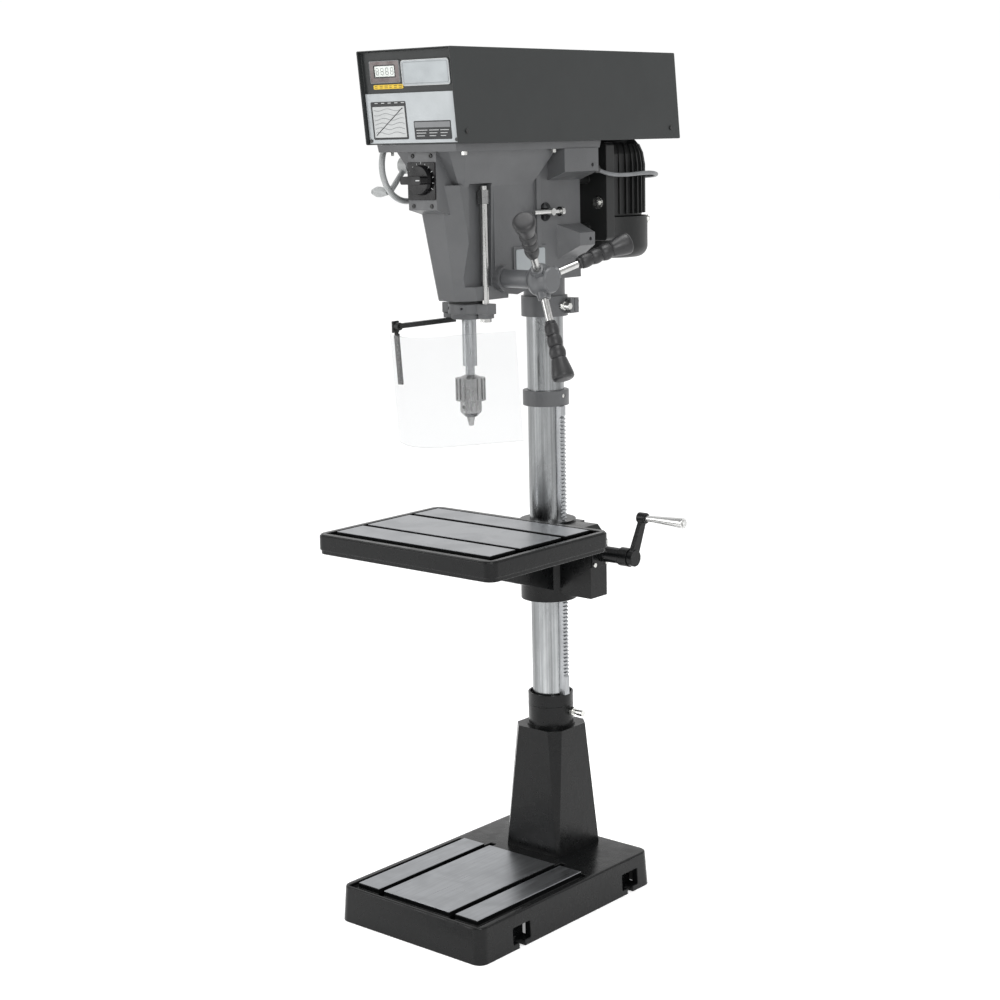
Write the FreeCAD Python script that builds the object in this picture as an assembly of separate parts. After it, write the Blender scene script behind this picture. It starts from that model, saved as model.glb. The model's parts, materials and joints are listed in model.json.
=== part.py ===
"""Floor-standing drill press with a variable-speed belt head and a production table.

Millimetres. The origin is on the column's axis at floor level, +Z is up, the operator stands
at -Y, and +X is the side with the feed levers, the rack and the table crank.
"""
import FreeCAD
import Part
import os
from math import acos, asin, atan2, cos, degrees, hypot, pi, radians, sin, sqrt, tan

V = FreeCAD.Vector
X = V(1, 0, 0)
Y = V(0, 1, 0)
Z = V(0, 0, 1)

# Driving dimensions
HEIGHT = 1720.0
SWING_R = 231.0                 # spindle axis to column axis
RUN = 0.05                      # radial clearance of a running fit
GAP = 0.3                       # space between faces of parts that move past each other

COLUMN_R = 37.5
COLUMN_TOP = 1500.0
BASE_W, BASE_FRONT, BASE_REAR, BASE_H = 382.0, -454.0, 94.0, 74.0
BASE_PAD = (-160.0, 160.0, -428.0, -105.0)
PEDESTAL_BOTTOM, PEDESTAL_TOP, PEDESTAL_H = 71.0, 60.0, 267.0
PEDESTAL_TOP_CHAMFER = 21.0
PEDESTAL_BOLTS = ((-63.0, -30.0), (-63.0, 30.0), (63.0, -30.0), (63.0, 30.0))
FOOT_SPLIT, FOOT_TOP, COLLAR_R = 385.0, 411.0, 47.3
RING_Z0, RING_Z1 = 1018.0, 1049.0

TABLE_W, TABLE_FRONT, TABLE_REAR = 460.0, -444.0, -86.0
TABLE_TOP, TABLE_RIM, TABLE_PAD_RISE = 794.5, 40.0, 3.0
TABLE_PAD = (-201.0, 201.0, -413.0, -117.0)
T_SLOT_W, T_SLOT_UNDER_W = 14.0, 24.0

SLEEVE_R, SLEEVE_Z0, SLEEVE_Z1 = 58.0, 614.0, 780.0
CRANK_Y, CRANK_Z, CRANK_ARM = 7.0, 721.0, 84.0
LIFT_MODULE, LIFT_TEETH = 2.5, 12
RACK_Y0, RACK_Y1 = -13.0, 1.0
RACK_TIP_X = 50.0
WORM_R, WHEEL_R = 12.0, 20.0

HEAD_RING_Z0, HEAD_RING_Z1 = 1200.0, 1241.0
HEAD_HALF_W, HEAD_REAR = 56.0, 50.0
HEAD_FLANGE_Z0, HEAD_FLANGE_Z1 = 1533.0, 1547.0
NOSE_Z = 1250.0
QUILL_R, QUILL_BORE_R, QUILL_TOP = 28.0, 20.0, 1430.0
QUILL_TRAVEL = 125.0
FEED_MODULE, FEED_TEETH = 2.0, 12
FEED_Z = 1289.5
FEED_Y = -SWING_R + 24.0 + FEED_MODULE * FEED_TEETH / 2
HUB_X, HUB_R = 151.0, 32.0
LEVER_TILT, LEVER_R = 23.5, 7.0
LEVER_ANGLES = (140.0, 260.0, 20.0)
LEVER_ROOT, GRIP_START, LEVER_END = 34.0, 85.0, 202.0

JAW_TILT, JAW_R, JAW_LEN, CHUCK_TIP = 14.0, 4.6, 52.0, 1003.0
CHUCK_NOSE_Z, CHUCK_SLEEVE_Z, CHUCK_TOP = 1021.0, 1053.0, 1099.0
DEPTH_ROD_X, DEPTH_ROD_Y, DEPTH_ROD_R = 50.0, -238.0, 7.0
DEPTH_ROD_TOP, DEPTH_NUT_Z, DEPTH_NUT_H = 1467.0, 1433.0, 13.0
GUARD_PIVOT = (-44.0, -384.0, 1208.0)
GUARD_LEAN = 4.6

COVER_HALF_W, COVER_Z0 = 117.7, 1547.0
COVER_TOP_Y = (-399.0, 290.0)
COVER_BOTTOM_Y = (-380.0, 310.0)
SHEET = 3.0

MOTOR_PLATE_W, MOTOR_PLATE_Y = 92.0, (91.0, 117.0)
MOTOR_Y, MOTOR_R, FAN_COVER_R = 215.0, 78.0, 82.0
MOTOR_Z0, MOTOR_SPLIT, MOTOR_Z1 = 1306.0, 1391.0, 1552.0
BELT_Z, BELT_W, BELT_T, SHEAVE_R = 1612.0, 26.0, 12.0, 70.0
SPINDLE_BELT_R, MOTOR_BELT_R = 54.0, 46.0
WHEEL_Y, WHEEL_Z, SPEED_WHEEL_R = -257.0, 1507.0, 75.0
SWITCH_Z, SWITCH_R = 1481.0, 28.0
LOCK_Y, LOCK_Z = -60.0, 1411.0
CABLE_R = 4.0


# ---------------------------------------------------------------- building blocks
def box(x0, x1, y0, y1, z0, z1):
    return Part.makeBox(x1 - x0, y1 - y0, z1 - z0, V(x0, y0, z0))


def rod(r, start, end):
    start, end = V(*start), V(*end)
    return Part.makeCylinder(r, (end - start).Length, start, end - start)


def cone(r0, r1, start, end):
    start, end = V(*start), V(*end)
    return Part.makeCone(r0, r1, (end - start).Length, start, end - start)


def ring(r_in, r_out, x, y, z0, z1):
    return rod(r_out, (x, y, z0), (x, y, z1)).cut(rod(r_in, (x, y, z0 - 1), (x, y, z1 + 1)))


def fuse(*shapes):
    whole = shapes[0]
    if len(shapes) > 1:
        whole = whole.fuse(list(shapes[1:]))
    return whole.removeSplitter()


def prism(points, along):
    """Extrude a closed outline, given as 3-D points, along a vector."""
    wire = Part.makePolygon([V(*p) for p in list(points) + [points[0]]])
    return Part.Face(wire).extrude(V(*along))


def loft(outlines):
    wires = [Part.makePolygon([V(*p) for p in list(o) + [o[0]]]) for o in outlines]
    return Part.makeLoft(wires, True, True)


def rect(x0, x1, y0, y1, z):
    return [(x0, y0, z), (x1, y0, z), (x1, y1, z), (x0, y1, z)]


def octagon(half, chamfer, z):
    h, c = half, chamfer
    flat = [(-h + c, -h), (h - c, -h), (h, -h + c), (h, h - c),
            (h - c, h), (-h + c, h), (-h, h - c), (-h, -h + c)]
    return [(x, y, z) for x, y in flat]


def vertical_edges(shape, min_len=1.0):
    """Edges that run mostly along Z."""
    found = []
    for e in shape.Edges:
        a, b = e.Vertexes[0].Point, e.Vertexes[-1].Point
        if abs(a.z - b.z) > min_len and hypot(a.x - b.x, a.y - b.y) < 0.2 * abs(a.z - b.z):
            found.append(e)
    return found


def edges_at_z(shape, z):
    return [e for e in shape.Edges
            if all(abs(v.Point.z - z) < 0.01 for v in e.Vertexes)
            and abs(e.BoundBox.ZMax - z) < 0.02 and abs(e.BoundBox.ZMin - z) < 0.02]


def turned(profile, centre=(0.0, 0.0)):
    """Revolve an (r, z) outline about the vertical line through centre."""
    points = [V(centre[0] + r, centre[1], z) for r, z in profile]
    face = Part.Face(Part.makePolygon(points + [points[0]]))
    return face.revolve(V(centre[0], centre[1], 0), Z, 360)


def moved_to(shape, origin, axis):
    """Take a shape built about +Z at the origin to a place and a direction."""
    shape = shape.copy()
    shape.Placement = FreeCAD.Placement(V(*origin), FreeCAD.Rotation(Z, V(*axis)))
    return shape


def hex_prism(across_flats, start, axis, height):
    r = across_flats / 2 / cos(pi / 6)
    outline = [(r * cos(k * pi / 3), r * sin(k * pi / 3), 0) for k in range(6)]
    return moved_to(prism(outline, (0, 0, height)), start, axis)


def round_plan(x0, x1, y0, y1, r, z0, z1, draft=0.0):
    """A block with rounded vertical corners that is wider at its foot by draft."""
    block = loft([rect(x0 - draft, x1 + draft, y0 - draft, y1 + draft, z0), rect(x0, x1, y0, y1, z1)])
    return block.makeFillet(r, vertical_edges(block))


def involute_gear(module, teeth, width, addendum=0.7, thin=0.25):
    """A spur gear about +Z from z=0, its first tooth on +X, thinned for backlash."""
    pitch_r = module * teeth / 2
    base_r = pitch_r * cos(radians(20))
    tip_r = pitch_r + addendum * module
    root_r = pitch_r - (addendum + 0.25) * module
    half = pi / 2 / teeth - thin / 2 / pitch_r + (tan(radians(20)) - radians(20))
    outline = []
    for k in range(teeth):
        middle = 2 * pi * k / teeth
        flank = []
        for step in range(5):
            r = max(base_r, root_r) + (tip_r - max(base_r, root_r)) * step / 4
            roll = acos(min(1.0, base_r / r))
            flank.append((r, half - (tan(roll) - roll)))
        outline.append((root_r, middle - half))
        outline += [(r, middle - a) for r, a in flank]
        outline += [(r, middle + a) for r, a in reversed(flank)]
        outline.append((root_r, middle + half))
    return prism([(r * cos(a), r * sin(a), 0) for r, a in outline], (0, 0, width))


def rack_teeth(module, count, addendum=0.7, thin=0.25):
    """Tooth outlines of a rack in (across, along); a space is centred on along = 0."""
    pitch = pi * module
    slope = tan(radians(20))
    half = pitch / 4 - thin / 2
    tip, root = addendum * module, -(addendum + 0.25) * module
    outline = []
    for k in range(count):
        mid = (k + 0.5) * pitch
        outline += [(root, mid - half + root * slope), (tip, mid - half + tip * slope),
                    (tip, mid + half - tip * slope), (root, mid + half - root * slope)]
    return outline


# ---------------------------------------------------------------- stand and column
def base():
    x = BASE_W / 2 - 4
    body = round_plan(-x, x, BASE_FRONT + 4, BASE_REAR - 4, 22, 0, BASE_H, 4)
    body = body.makeFillet(4, edges_at_z(body, BASE_H))
    px0, px1, py0, py1 = BASE_PAD
    trough = box(px0 - 14, px1 + 14, py0 - 14, py1, BASE_H - 7, BASE_H + 20)
    pad = box(px0, px1, py0, py1, BASE_H - 7.5, BASE_H + 4.5)
    body = body.cut(trough).fuse(pad)
    for gx in (-96.0, 96.0):
        body = body.cut(box(gx - 7, gx + 7, py0 - 2, py1 + 22, BASE_H - 9, BASE_H + 20))
        body = body.cut(box(gx - 12, gx + 12, py0 - 2, py1 + 22, BASE_H - 16, BASE_H - 8.99))
    body = body.cut(box(-x + 12, x - 12, BASE_FRONT + 16, -92, -1, BASE_H - 24))
    body = body.cut(box(-x + 12, x - 12, -80, BASE_REAR - 16, -1, BASE_H - 24))
    for side in (-1, 1):
        for ny in (-330.0, 20.0):
            x0, x1 = sorted((side * (x - 24), side * (x + 10)))
            body = body.cut(box(x0, x1, ny - 26, ny + 26, 12, 46))
            body = body.fuse(box(*sorted((side * (x - 32), side * (x - 24))), ny - 34, ny + 34, 0, 52))
            body = body.fuse(box(*sorted((side * (x - 25), side * (x - 2))), ny - 34, ny + 34, 0, 12))
            body = body.cut(box(x0, x1, ny - 8, ny + 8, -1, 13))
    for bx, by in PEDESTAL_BOLTS:
        body = body.cut(rod(4, (bx, by, 40), (bx, by, BASE_H + 1)))
    return body.removeSplitter()


def pedestal():
    z0, z1 = BASE_H, BASE_H + PEDESTAL_H
    outer = loft([octagon(PEDESTAL_BOTTOM, 4, z0), octagon(PEDESTAL_TOP, PEDESTAL_TOP_CHAMFER, z1)])
    outer = outer.fuse(rod(COLLAR_R + 3, (0, 0, z1 - 4), (0, 0, z1 + 3)))
    outer = outer.fuse(rod(COLLAR_R, (0, 0, z1), (0, 0, FOOT_SPLIT)))
    inner = loft([octagon(PEDESTAL_BOTTOM - 12, 4, z0 - 1), octagon(PEDESTAL_TOP - 10, 14, z1 - 90)])
    outer = outer.cut(inner).cut(rod(COLUMN_R, (0, 0, z0), (0, 0, FOOT_SPLIT + 1)))
    for bx, by in PEDESTAL_BOLTS:
        outer = outer.cut(rod(4, (bx, by, z0 - 1), (bx, by, z0 + 14)))
    return outer.cut(rod(5.2, (30, 8, 372), (90, 8, 372))).removeSplitter()


def pedestal_bolts():
    bolts = []
    for x, y in PEDESTAL_BOLTS:
        head = hex_prism(13, (x, y, BASE_H - 30), Z, 6)
        bolts.append(fuse(head, rod(4, (x, y, BASE_H - 24), (x, y, BASE_H + 14))))
    return bolts


def foot_clamp_bolt():
    shank = rod(5, (38.5, 8, 372), (66, 8, 372))
    return fuse(shank, hex_prism(17, (48.5, 8, 372), X, 8), rod(6.5, (66, 8, 372), (80, 8, 372)))


def groove_ring(z0, z1, opening_up):
    """A ring on the column whose inner groove holds the rack's bevelled tongue."""
    body = ring(COLUMN_R, COLLAR_R, 0, 0, z0, z1)
    edge = z1 if opening_up else z0
    groove_z = (edge - 8, edge + 1) if opening_up else (edge - 1, edge + 8)
    return body.cut(ring(COLUMN_R - 1, COLUMN_R + 6, 0, 0, *groove_z))


def foot_collar():
    return groove_ring(FOOT_SPLIT, FOOT_TOP, True)


def rack_ring():
    body = groove_ring(RING_Z0, RING_Z1, False)
    return body.cut(rod(4, (30, 0, 1038), (60, 0, 1038)))


def ring_set_screw():
    return rod(3.9, (38.2, 0, 1038), (46, 0, 1038))


def column():
    return ring(COLUMN_R - 6, COLUMN_R, 0, 0, BASE_H + PEDESTAL_H - 20, COLUMN_TOP)


def column_rack():
    z0, z1 = FOOT_TOP + GAP, RING_Z0 - GAP
    body = box(30, 43, RACK_Y0, RACK_Y1, z0 - 7, z1 + 7)
    body = body.cut(rod(60, (0, 0, 0), (0, 0, 2000)).cut(rod(COLUMN_R + 5.7, (0, 0, -1), (0, 0, 2001))))
    pitch_x = RACK_TIP_X - 0.7 * LIFT_MODULE
    pitch = pi * LIFT_MODULE
    shaft_z = lift_shaft_z()
    below = int((shaft_z - z0 - 34) / pitch)
    above = int((z1 - 20 - shaft_z) / pitch)
    teeth = rack_teeth(LIFT_MODULE, below + above)
    start = shaft_z - below * pitch
    outline = [(36, RACK_Y0, z0), (RACK_TIP_X, RACK_Y0, z0), (RACK_TIP_X, RACK_Y0, start - 4)]
    outline += [(pitch_x + a, RACK_Y0, start + b) for a, b in teeth]
    outline += [(RACK_TIP_X, RACK_Y0, start + (below + above) * pitch + 4), (RACK_TIP_X, RACK_Y0, z1),
                (36, RACK_Y0, z1)]
    bar = prism(outline, (0, RACK_Y1 - RACK_Y0, 0))
    return body.fuse(bar).cut(rod(COLUMN_R + GAP, (0, 0, 0), (0, 0, 2000))).removeSplitter()


# ---------------------------------------------------------------- table and its lift
def lift_shaft_z():
    return CRANK_Z - WORM_R - WHEEL_R - GAP


def lift_shaft_x():
    return RACK_TIP_X - 0.7 * LIFT_MODULE + LIFT_MODULE * LIFT_TEETH / 2


def table_bracket():
    sleeve = rod(SLEEVE_R, (0, 0, SLEEVE_Z0), (0, 0, SLEEVE_Z1))
    housing = prism([(0, 26.5, SLEEVE_Z0 + 30), (22, 26.5, SLEEVE_Z0 + 17), (132, 26.5, SLEEVE_Z0 + 17),
                     (132, 26.5, 752), (110, 26.5, SLEEVE_Z1 - 4), (0, 26.5, SLEEVE_Z1 - 4)], (0, -53, 0))
    rear_lug = box(-38, 38, 40, 74, SLEEVE_Z0 + 12, SLEEVE_Z1 - 12)
    web = prism([(-45, -40, 640), (-45, -300, 722), (-45, -300, 754), (-45, -40, 754)], (90, 0, 0))
    arm = loft([rect(-70, 70, -330, -90, 754.5), rect(-52, 52, -310, -40, 722)])
    seat = box(-80, 80, -335, -95, 752, 754.5)
    body = fuse(sleeve, housing, rear_lug, web, arm, seat)
    body = body.cut(rod(COLUMN_R + RUN, (0, 0, 500), (0, 0, 900)))
    sx, sz = lift_shaft_x(), lift_shaft_z()
    body = body.cut(box(30, RACK_TIP_X + 0.6, RACK_Y0 - 0.6, RACK_Y1 + 0.6, 500, 900))
    body = body.cut(box(RACK_TIP_X - 14, 88, -14, 20.5, sz - 24, CRANK_Z + 15))
    body = body.cut(rod(8 + RUN, (sx, -23, sz), (sx, 25.5, sz)))
    body = body.cut(rod(9 + RUN, (60, CRANK_Y, CRANK_Z), (140, CRANK_Y, CRANK_Z)))
    body = body.cut(box(-1.5, 1.5, 30, 80, 500, 900))
    return body.cut(rod(6 + RUN, (-50, 58, 700), (50, 58, 700))).removeSplitter()


def lift_gear():
    """Worm wheel and rack pinion on one cross shaft."""
    sx, sz = lift_shaft_x(), lift_shaft_z()
    pinion = involute_gear(LIFT_MODULE, LIFT_TEETH, 13)
    pinion = moved_to(pinion, (sx, 1.0, sz), (0, -1, 0))
    # an even count of teeth puts one on -X, in the rack's space
    wheel_teeth = 30
    wheel = rod(WHEEL_R - 1.2, (sx, 1.5, sz), (sx, 12.5, sz))
    for k in range(wheel_teeth):
        a = 2 * pi * k / wheel_teeth
        tooth = box(WHEEL_R - 2, WHEEL_R, 1.5, 12.5, -1, 1)
        tooth.rotate(V(0, 0, 0), Y, degrees(a))
        tooth.translate(V(sx, 0, sz))
        wheel = wheel.fuse(tooth)
    shaft = rod(8, (sx, -22.5, sz), (sx, 25.2, sz))
    return fuse(shaft, pinion, wheel)


def crank_shaft():
    end = 208.0
    shaft = rod(9, (88.5, CRANK_Y, CRANK_Z), (end, CRANK_Y, CRANK_Z))
    worm = rod(WORM_R, (52.0, CRANK_Y, CRANK_Z), (87, CRANK_Y, CRANK_Z))
    neck = rod(9, (86, CRANK_Y, CRANK_Z), (90, CRANK_Y, CRANK_Z))
    collar = rod(16, (133.0, CRANK_Y, CRANK_Z), (192, CRANK_Y, CRANK_Z))
    hub = rod(19, (186, CRANK_Y, CRANK_Z), (end, CRANK_Y, CRANK_Z))
    return fuse(shaft, worm, neck, collar, hub)


def crank_boss():
    rise = 76.0
    return CRANK_Y + sqrt(CRANK_ARM ** 2 - rise ** 2), CRANK_Z + rise


def crank_arm():
    """Tapered arm from the hub's end to the handle's boss."""
    by, bz = crank_boss()
    direction = V(0, by - CRANK_Y, bz - CRANK_Z)
    direction.normalize()
    side = V(0, -direction.z, direction.y)
    low = V(208.0, CRANK_Y, CRANK_Z)
    high = V(208.0, by, bz)
    outline = [low + side * 12, high + side * 7.5, high - side * 7.5, low - side * 12]
    web = prism([(p.x, p.y, p.z) for p in outline], (10, 0, 0))
    foot = rod(17, (208.0, CRANK_Y, CRANK_Z), (221, CRANK_Y, CRANK_Z))
    boss = rod(11, (203, by, bz), (222, by, bz))
    pin = rod(4.5, (222, by, bz), (314, by, bz))
    head = rod(6.5, (314, by, bz), (317, by, bz))
    return fuse(web, foot, boss, pin, head)


def crank_handle():
    by, bz = crank_boss()
    profile = [(4.5 + RUN, 222.6), (6.2, 222.6), (6.8, 236), (9.6, 290), (10.5, 306),
               (10.5, 312.4), (9.5, 313.4), (4.5 + RUN, 313.4)]
    sleeve = turned(profile)
    sleeve.rotate(V(0, 0, 0), Y, 90)
    sleeve.translate(V(0, by, bz))
    return sleeve


def gear_cover():
    plate = box(132.2, 136.2, -25, 25, CRANK_Z - 26, CRANK_Z + 28)
    plate = plate.cut(rod(16 + GAP, (130, CRANK_Y, CRANK_Z), (150, CRANK_Y, CRANK_Z)))
    for y in (-19, 19):
        for z in (CRANK_Z - 20, CRANK_Z + 22):
            plate = plate.cut(rod(2.6, (130, y, z), (140, y, z)))
    return plate


def gear_cover_screws():
    screws = []
    for y in (-19, 19):
        for z in (CRANK_Z - 20, CRANK_Z + 22):
            screws.append(rod(4.5, (136.4, y, z), (139, y, z)))
    return screws


def table_lock_bolt():
    return fuse(rod(6, (-64, 58, 700), (44, 58, 700)), rod(12, (-56, 58, 700), (-38.4, 58, 700)))


def table_lock_lever():
    tip = (-112, 112, 735)
    along = (tip[0] + 52, tip[1] - 64, tip[2] - 703)
    knob = turned([(0, -10), (7, -10), (10, -6), (11, 0), (10, 6), (7, 10), (0, 10)])
    return fuse(rod(5, (-52, 64, 703), tip), moved_to(knob, tip, along))


def table():
    x = TABLE_W / 2
    z0 = TABLE_TOP - TABLE_RIM
    plate = round_plan(-x + 2, x - 2, TABLE_FRONT + 2, TABLE_REAR - 2, 20, z0, TABLE_TOP)
    skirt = round_plan(-x, x, TABLE_FRONT, TABLE_REAR, 20, z0 + 8, TABLE_TOP - 3)
    body = plate.fuse(skirt).removeSplitter()
    px0, px1, py0, py1 = TABLE_PAD
    body = body.cut(box(px0 - 15, px1 + 15, py0 - 15, py1 + 15, TABLE_TOP - 8, TABLE_TOP + 20))
    body = body.fuse(box(px0, px1, py0, py1, TABLE_TOP - 9, TABLE_TOP + TABLE_PAD_RISE))
    middle = (TABLE_FRONT + TABLE_REAR) / 2
    for y in (middle - 68, middle + 68):
        body = body.cut(box(px0 - 2, px1 + 2, y - T_SLOT_W / 2, y + T_SLOT_W / 2,
                            TABLE_TOP - 11, TABLE_TOP + 20))
        body = body.cut(box(px0 - 2, px1 + 2, y - T_SLOT_UNDER_W / 2, y + T_SLOT_UNDER_W / 2,
                            TABLE_TOP - 19, TABLE_TOP - 10.99))
    body = body.cut(box(-x + 10, -84, TABLE_FRONT + 10, TABLE_REAR - 10, z0 - 1, TABLE_TOP - 27))
    body = body.cut(box(84, x - 10, TABLE_FRONT + 10, TABLE_REAR - 10, z0 - 1, TABLE_TOP - 27))
    body = body.cut(box(-72, 72, TABLE_FRONT + 10, -350, z0 - 1, TABLE_TOP - 27))
    for bx in (-60.0, 60.0):
        for by in (-300.0, -130.0):
            body = body.cut(rod(4.9, (bx, by, z0 - 1), (bx, by, z0 + 16)))
    return body.removeSplitter()


def table_bolts():
    bolts = []
    for bx in (-60.0, 60.0):
        for by in (-300.0, -130.0):
            foot_z = TABLE_TOP - TABLE_RIM + 0.1
            bolts.append(rod(4.8, (bx, by, foot_z), (bx, by, foot_z + 15)))
    return bolts


# ---------------------------------------------------------------- head casting
def nose():
    """The tapered front of the head that guides the quill."""
    def outline(front_half, front_y, side, z):
        return [(-front_half, front_y, z), (front_half, front_y, z), (side, front_y + side - front_half, z),
                (side, -170, z), (-side, -170, z), (-side, front_y + side - front_half, z)]
    return loft([outline(21, -292, 50, NOSE_Z), outline(27, -325, 55, 1412), outline(30, -338, 56, 1470)])


def shoulder_outline(front_half, side, front_y, corner_y, rear_y, z):
    return [(-front_half, front_y, z), (front_half, front_y, z), (side, corner_y, z),
            (side, rear_y, z), (-side, rear_y, z), (-side, corner_y, z)]


def side_horn(side, root, tip):
    """A tapered block on the head's flank; root and tip are (x, y0, y1, z0, z1)."""
    outlines = []
    for x, y0, y1, z0, z1 in (root, tip):
        x *= side
        outlines.append([(x, y0, z0), (x, y1, z0), (x, y1, z1), (x, y0, z1)])
    return loft(outlines)


def head_casting():
    w = HEAD_HALF_W
    body = box(-w, w, -215, HEAD_REAR, 1277, HEAD_FLANGE_Z0)
    side_skirt = prism([(-w, -190, 1262), (-w, -150, 1255), (-w, -60, 1277), (-w, -215, 1277)],
                       (2 * w, 0, 0))
    switch_box = prism([(-36, -353, 1425), (-36, -353, HEAD_FLANGE_Z0), (-36, -290, HEAD_FLANGE_Z0),
                        (-36, -290, 1408)], (72, 0, 0))
    shoulder = loft([shoulder_outline(50, w, -306, -298, -100, 1466),
                     shoulder_outline(66, 86, -350, -325, -60, HEAD_FLANGE_Z0)])
    flange = loft([rect(-98, 98, -366, 62, HEAD_FLANGE_Z0), rect(-100, 100, -368, 64, HEAD_FLANGE_Z1)])
    ring_boss = fuse(rod(42, (0, 0, HEAD_RING_Z1 - 1), (0, 0, 1280)),
                     rod(COLLAR_R, (0, 0, HEAD_RING_Z0), (0, 0, HEAD_RING_Z1)))
    clamp_lug = box(20, 62, 8, 34, 1206, 1236)
    body = fuse(body, side_skirt, nose(), switch_box, shoulder, flange, ring_boss, clamp_lug)
    for side in (-1, 1):
        upper = side_horn(side, (w - 4, -52, 55, 1470, HEAD_FLANGE_Z0),
                          (100, -52, 55, 1488, HEAD_FLANGE_Z0))
        lower = side_horn(side, (w - 4, -28, HEAD_REAR, 1313, 1386), (93, 2, HEAD_REAR, 1342, 1367))
        body = fuse(body, upper, lower)
    for side in (-1, 1):
        body = body.fuse(box(*sorted((side * w, side * (w + 5))), -92, -80, 1345, HEAD_FLANGE_Z0))
        body = body.fuse(box(*sorted((side * w, side * (w + 3))), -162, -62, 1294, 1347))
    feed_boss = rod(24, (w - 6, FEED_Y, FEED_Z), (w + 10, FEED_Y, FEED_Z))
    spring_boss = rod(26, (-w - 8, FEED_Y, FEED_Z), (-w + 6, FEED_Y, FEED_Z))
    body = fuse(body, feed_boss, spring_boss)

    # column bore, quill bore and the space for the pulley sleeve above it
    body = body.cut(rod(COLUMN_R, (0, 0, 1100), (0, 0, COLUMN_TOP + 0.5)))
    body = body.cut(rod(QUILL_R + RUN, (0, -SWING_R, 1200), (0, -SWING_R, QUILL_TOP + 12)))
    body = body.cut(rod(26, (0, -SWING_R, QUILL_TOP + 10), (0, -SWING_R, 1490)))
    body = body.cut(rod(30, (0, -SWING_R, 1489), (0, -SWING_R, HEAD_FLANGE_Z1 + 1)))
    # feed shaft bore with its pinion's pocket
    body = body.cut(rod(15 + RUN, (-w - 9, FEED_Y, FEED_Z), (w + 11, FEED_Y, FEED_Z)))
    # hollow between quill housing and column
    body = body.cut(box(-w + 9, w - 9, -158, -52, 1286, HEAD_FLANGE_Z1 + 1))
    body = body.cut(box(-w + 9, w - 9, 42, HEAD_REAR - 6, 1350, HEAD_FLANGE_Z0 - 8))
    # depth rod's recess on the right side
    body = body.cut(box(w - 18.5, w + 40, -286, -222, 1277, DEPTH_ROD_TOP + 5))
    depth_foot, depth_head = (DEPTH_ROD_X, DEPTH_ROD_Y, 1200), (DEPTH_ROD_X, DEPTH_ROD_Y, 1300)
    body = body.cut(rod(DEPTH_ROD_R + GAP, depth_foot, depth_head))
    # motor lock bore, tension bar, hold-down holes and the speed shaft's bore
    body = body.cut(rod(18.5, (w - 10, LOCK_Y, LOCK_Z), (w + 20, LOCK_Y, LOCK_Z)))
    body = body.cut(rod(7 + RUN, (w - 20, LOCK_Y, LOCK_Z), (w, LOCK_Y, LOCK_Z)))
    for z, x_end in ((1500, 101), (1354, 93)):
        body = body.cut(rod(4, (x_end - 18, 36, z), (x_end + 2, 36, z)))
        body = body.cut(rod(4, (-x_end - 2, 36, z), (-x_end + 18, 36, z)))
    body = body.cut(rod(8 + RUN, (-120, WHEEL_Y, WHEEL_Z), (-34, WHEEL_Y, WHEEL_Z)))
    body = body.cut(box(-58, -40, WHEEL_Y - 16, WHEEL_Y + 16, WHEEL_Z - 20, HEAD_FLANGE_Z1 + 1))
    # split and bolts of the head clamp
    body = body.cut(box(30, 70, 20, 22, 1190, 1245))
    for z in (1214, 1228):
        body = body.cut(rod(4.5, (52, 0, z), (52, 50, z)))
    return body.removeSplitter()


def head_clamp_bolts():
    bolts = [rod(4.4, (52, 9, z), (52, 34.2, z)) for z in (1214, 1228)]
    heads = [hex_prism(12, (52, 34.2, z), Y, 6) for z in (1214, 1228)]
    set_bolt = fuse(rod(6.5, (COLLAR_R + 8, -2, 1221), (COLLAR_R + 22, -2, 1221)),
                    hex_prism(16, (COLLAR_R + 0.2, -2, 1221), X, 8))
    return [fuse(b, h) for b, h in zip(bolts, heads)] + [set_bolt]


def flange_nuts():
    found = []
    for x in (-93.5, 93.5):
        for y in (-337.0, -78.0):
            found.append(hex_prism(10, (x, y, HEAD_FLANGE_Z0 - 7), Z, 6.8))
    return found


def side_label_plate():
    x = HEAD_HALF_W + 3
    plate = box(x + 0.1, x + 1.3, -156, -68, 1299, 1342)
    return plate.makeFillet(4, [e for e in plate.Edges if abs(e.Length - 1.2) < 0.01])


# ---------------------------------------------------------------- quill, spindle and chuck
def quill():
    z0 = NOSE_Z - 26
    body = ring(QUILL_BORE_R, QUILL_R, 0, -SWING_R, z0, QUILL_TOP)
    body = body.cut(rod(23, (0, -SWING_R, z0 - 1), (0, -SWING_R, z0 + 19)))
    body = body.cut(rod(21.5, (0, -SWING_R, QUILL_TOP - 18), (0, -SWING_R, QUILL_TOP + 1)))
    pitch = pi * FEED_MODULE
    face_y = -SWING_R + 24.0
    tip_y = face_y + 0.7 * FEED_MODULE
    below, above = 3, int((QUILL_TRAVEL + 12) / pitch) + 1
    start = FEED_Z - below * pitch
    teeth = rack_teeth(FEED_MODULE, below + above)
    tops = [(-30, face_y + a, start + b) for a, b in teeth]
    first_z, last_z = start - 2, start + (below + above) * pitch + 2
    cutter = prism([(-30, -190, first_z), (-30, tip_y, first_z)] + tops
                   + [(-30, tip_y, last_z), (-30, -190, last_z)], (60, 0, 0))
    return body.cut(cutter).removeSplitter()


def quill_bearings():
    z0 = NOSE_Z - 26
    return [ring(14.0 + RUN, 23.0, 0, -SWING_R, z0 + 1, z0 + 18),
            ring(12.0 + RUN, 21.5, 0, -SWING_R, QUILL_TOP - 17, QUILL_TOP - 1)]


def bump_ring():
    return ring(QUILL_R, 38, 0, -SWING_R, 1243.2, NOSE_Z - 0.6)


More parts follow.
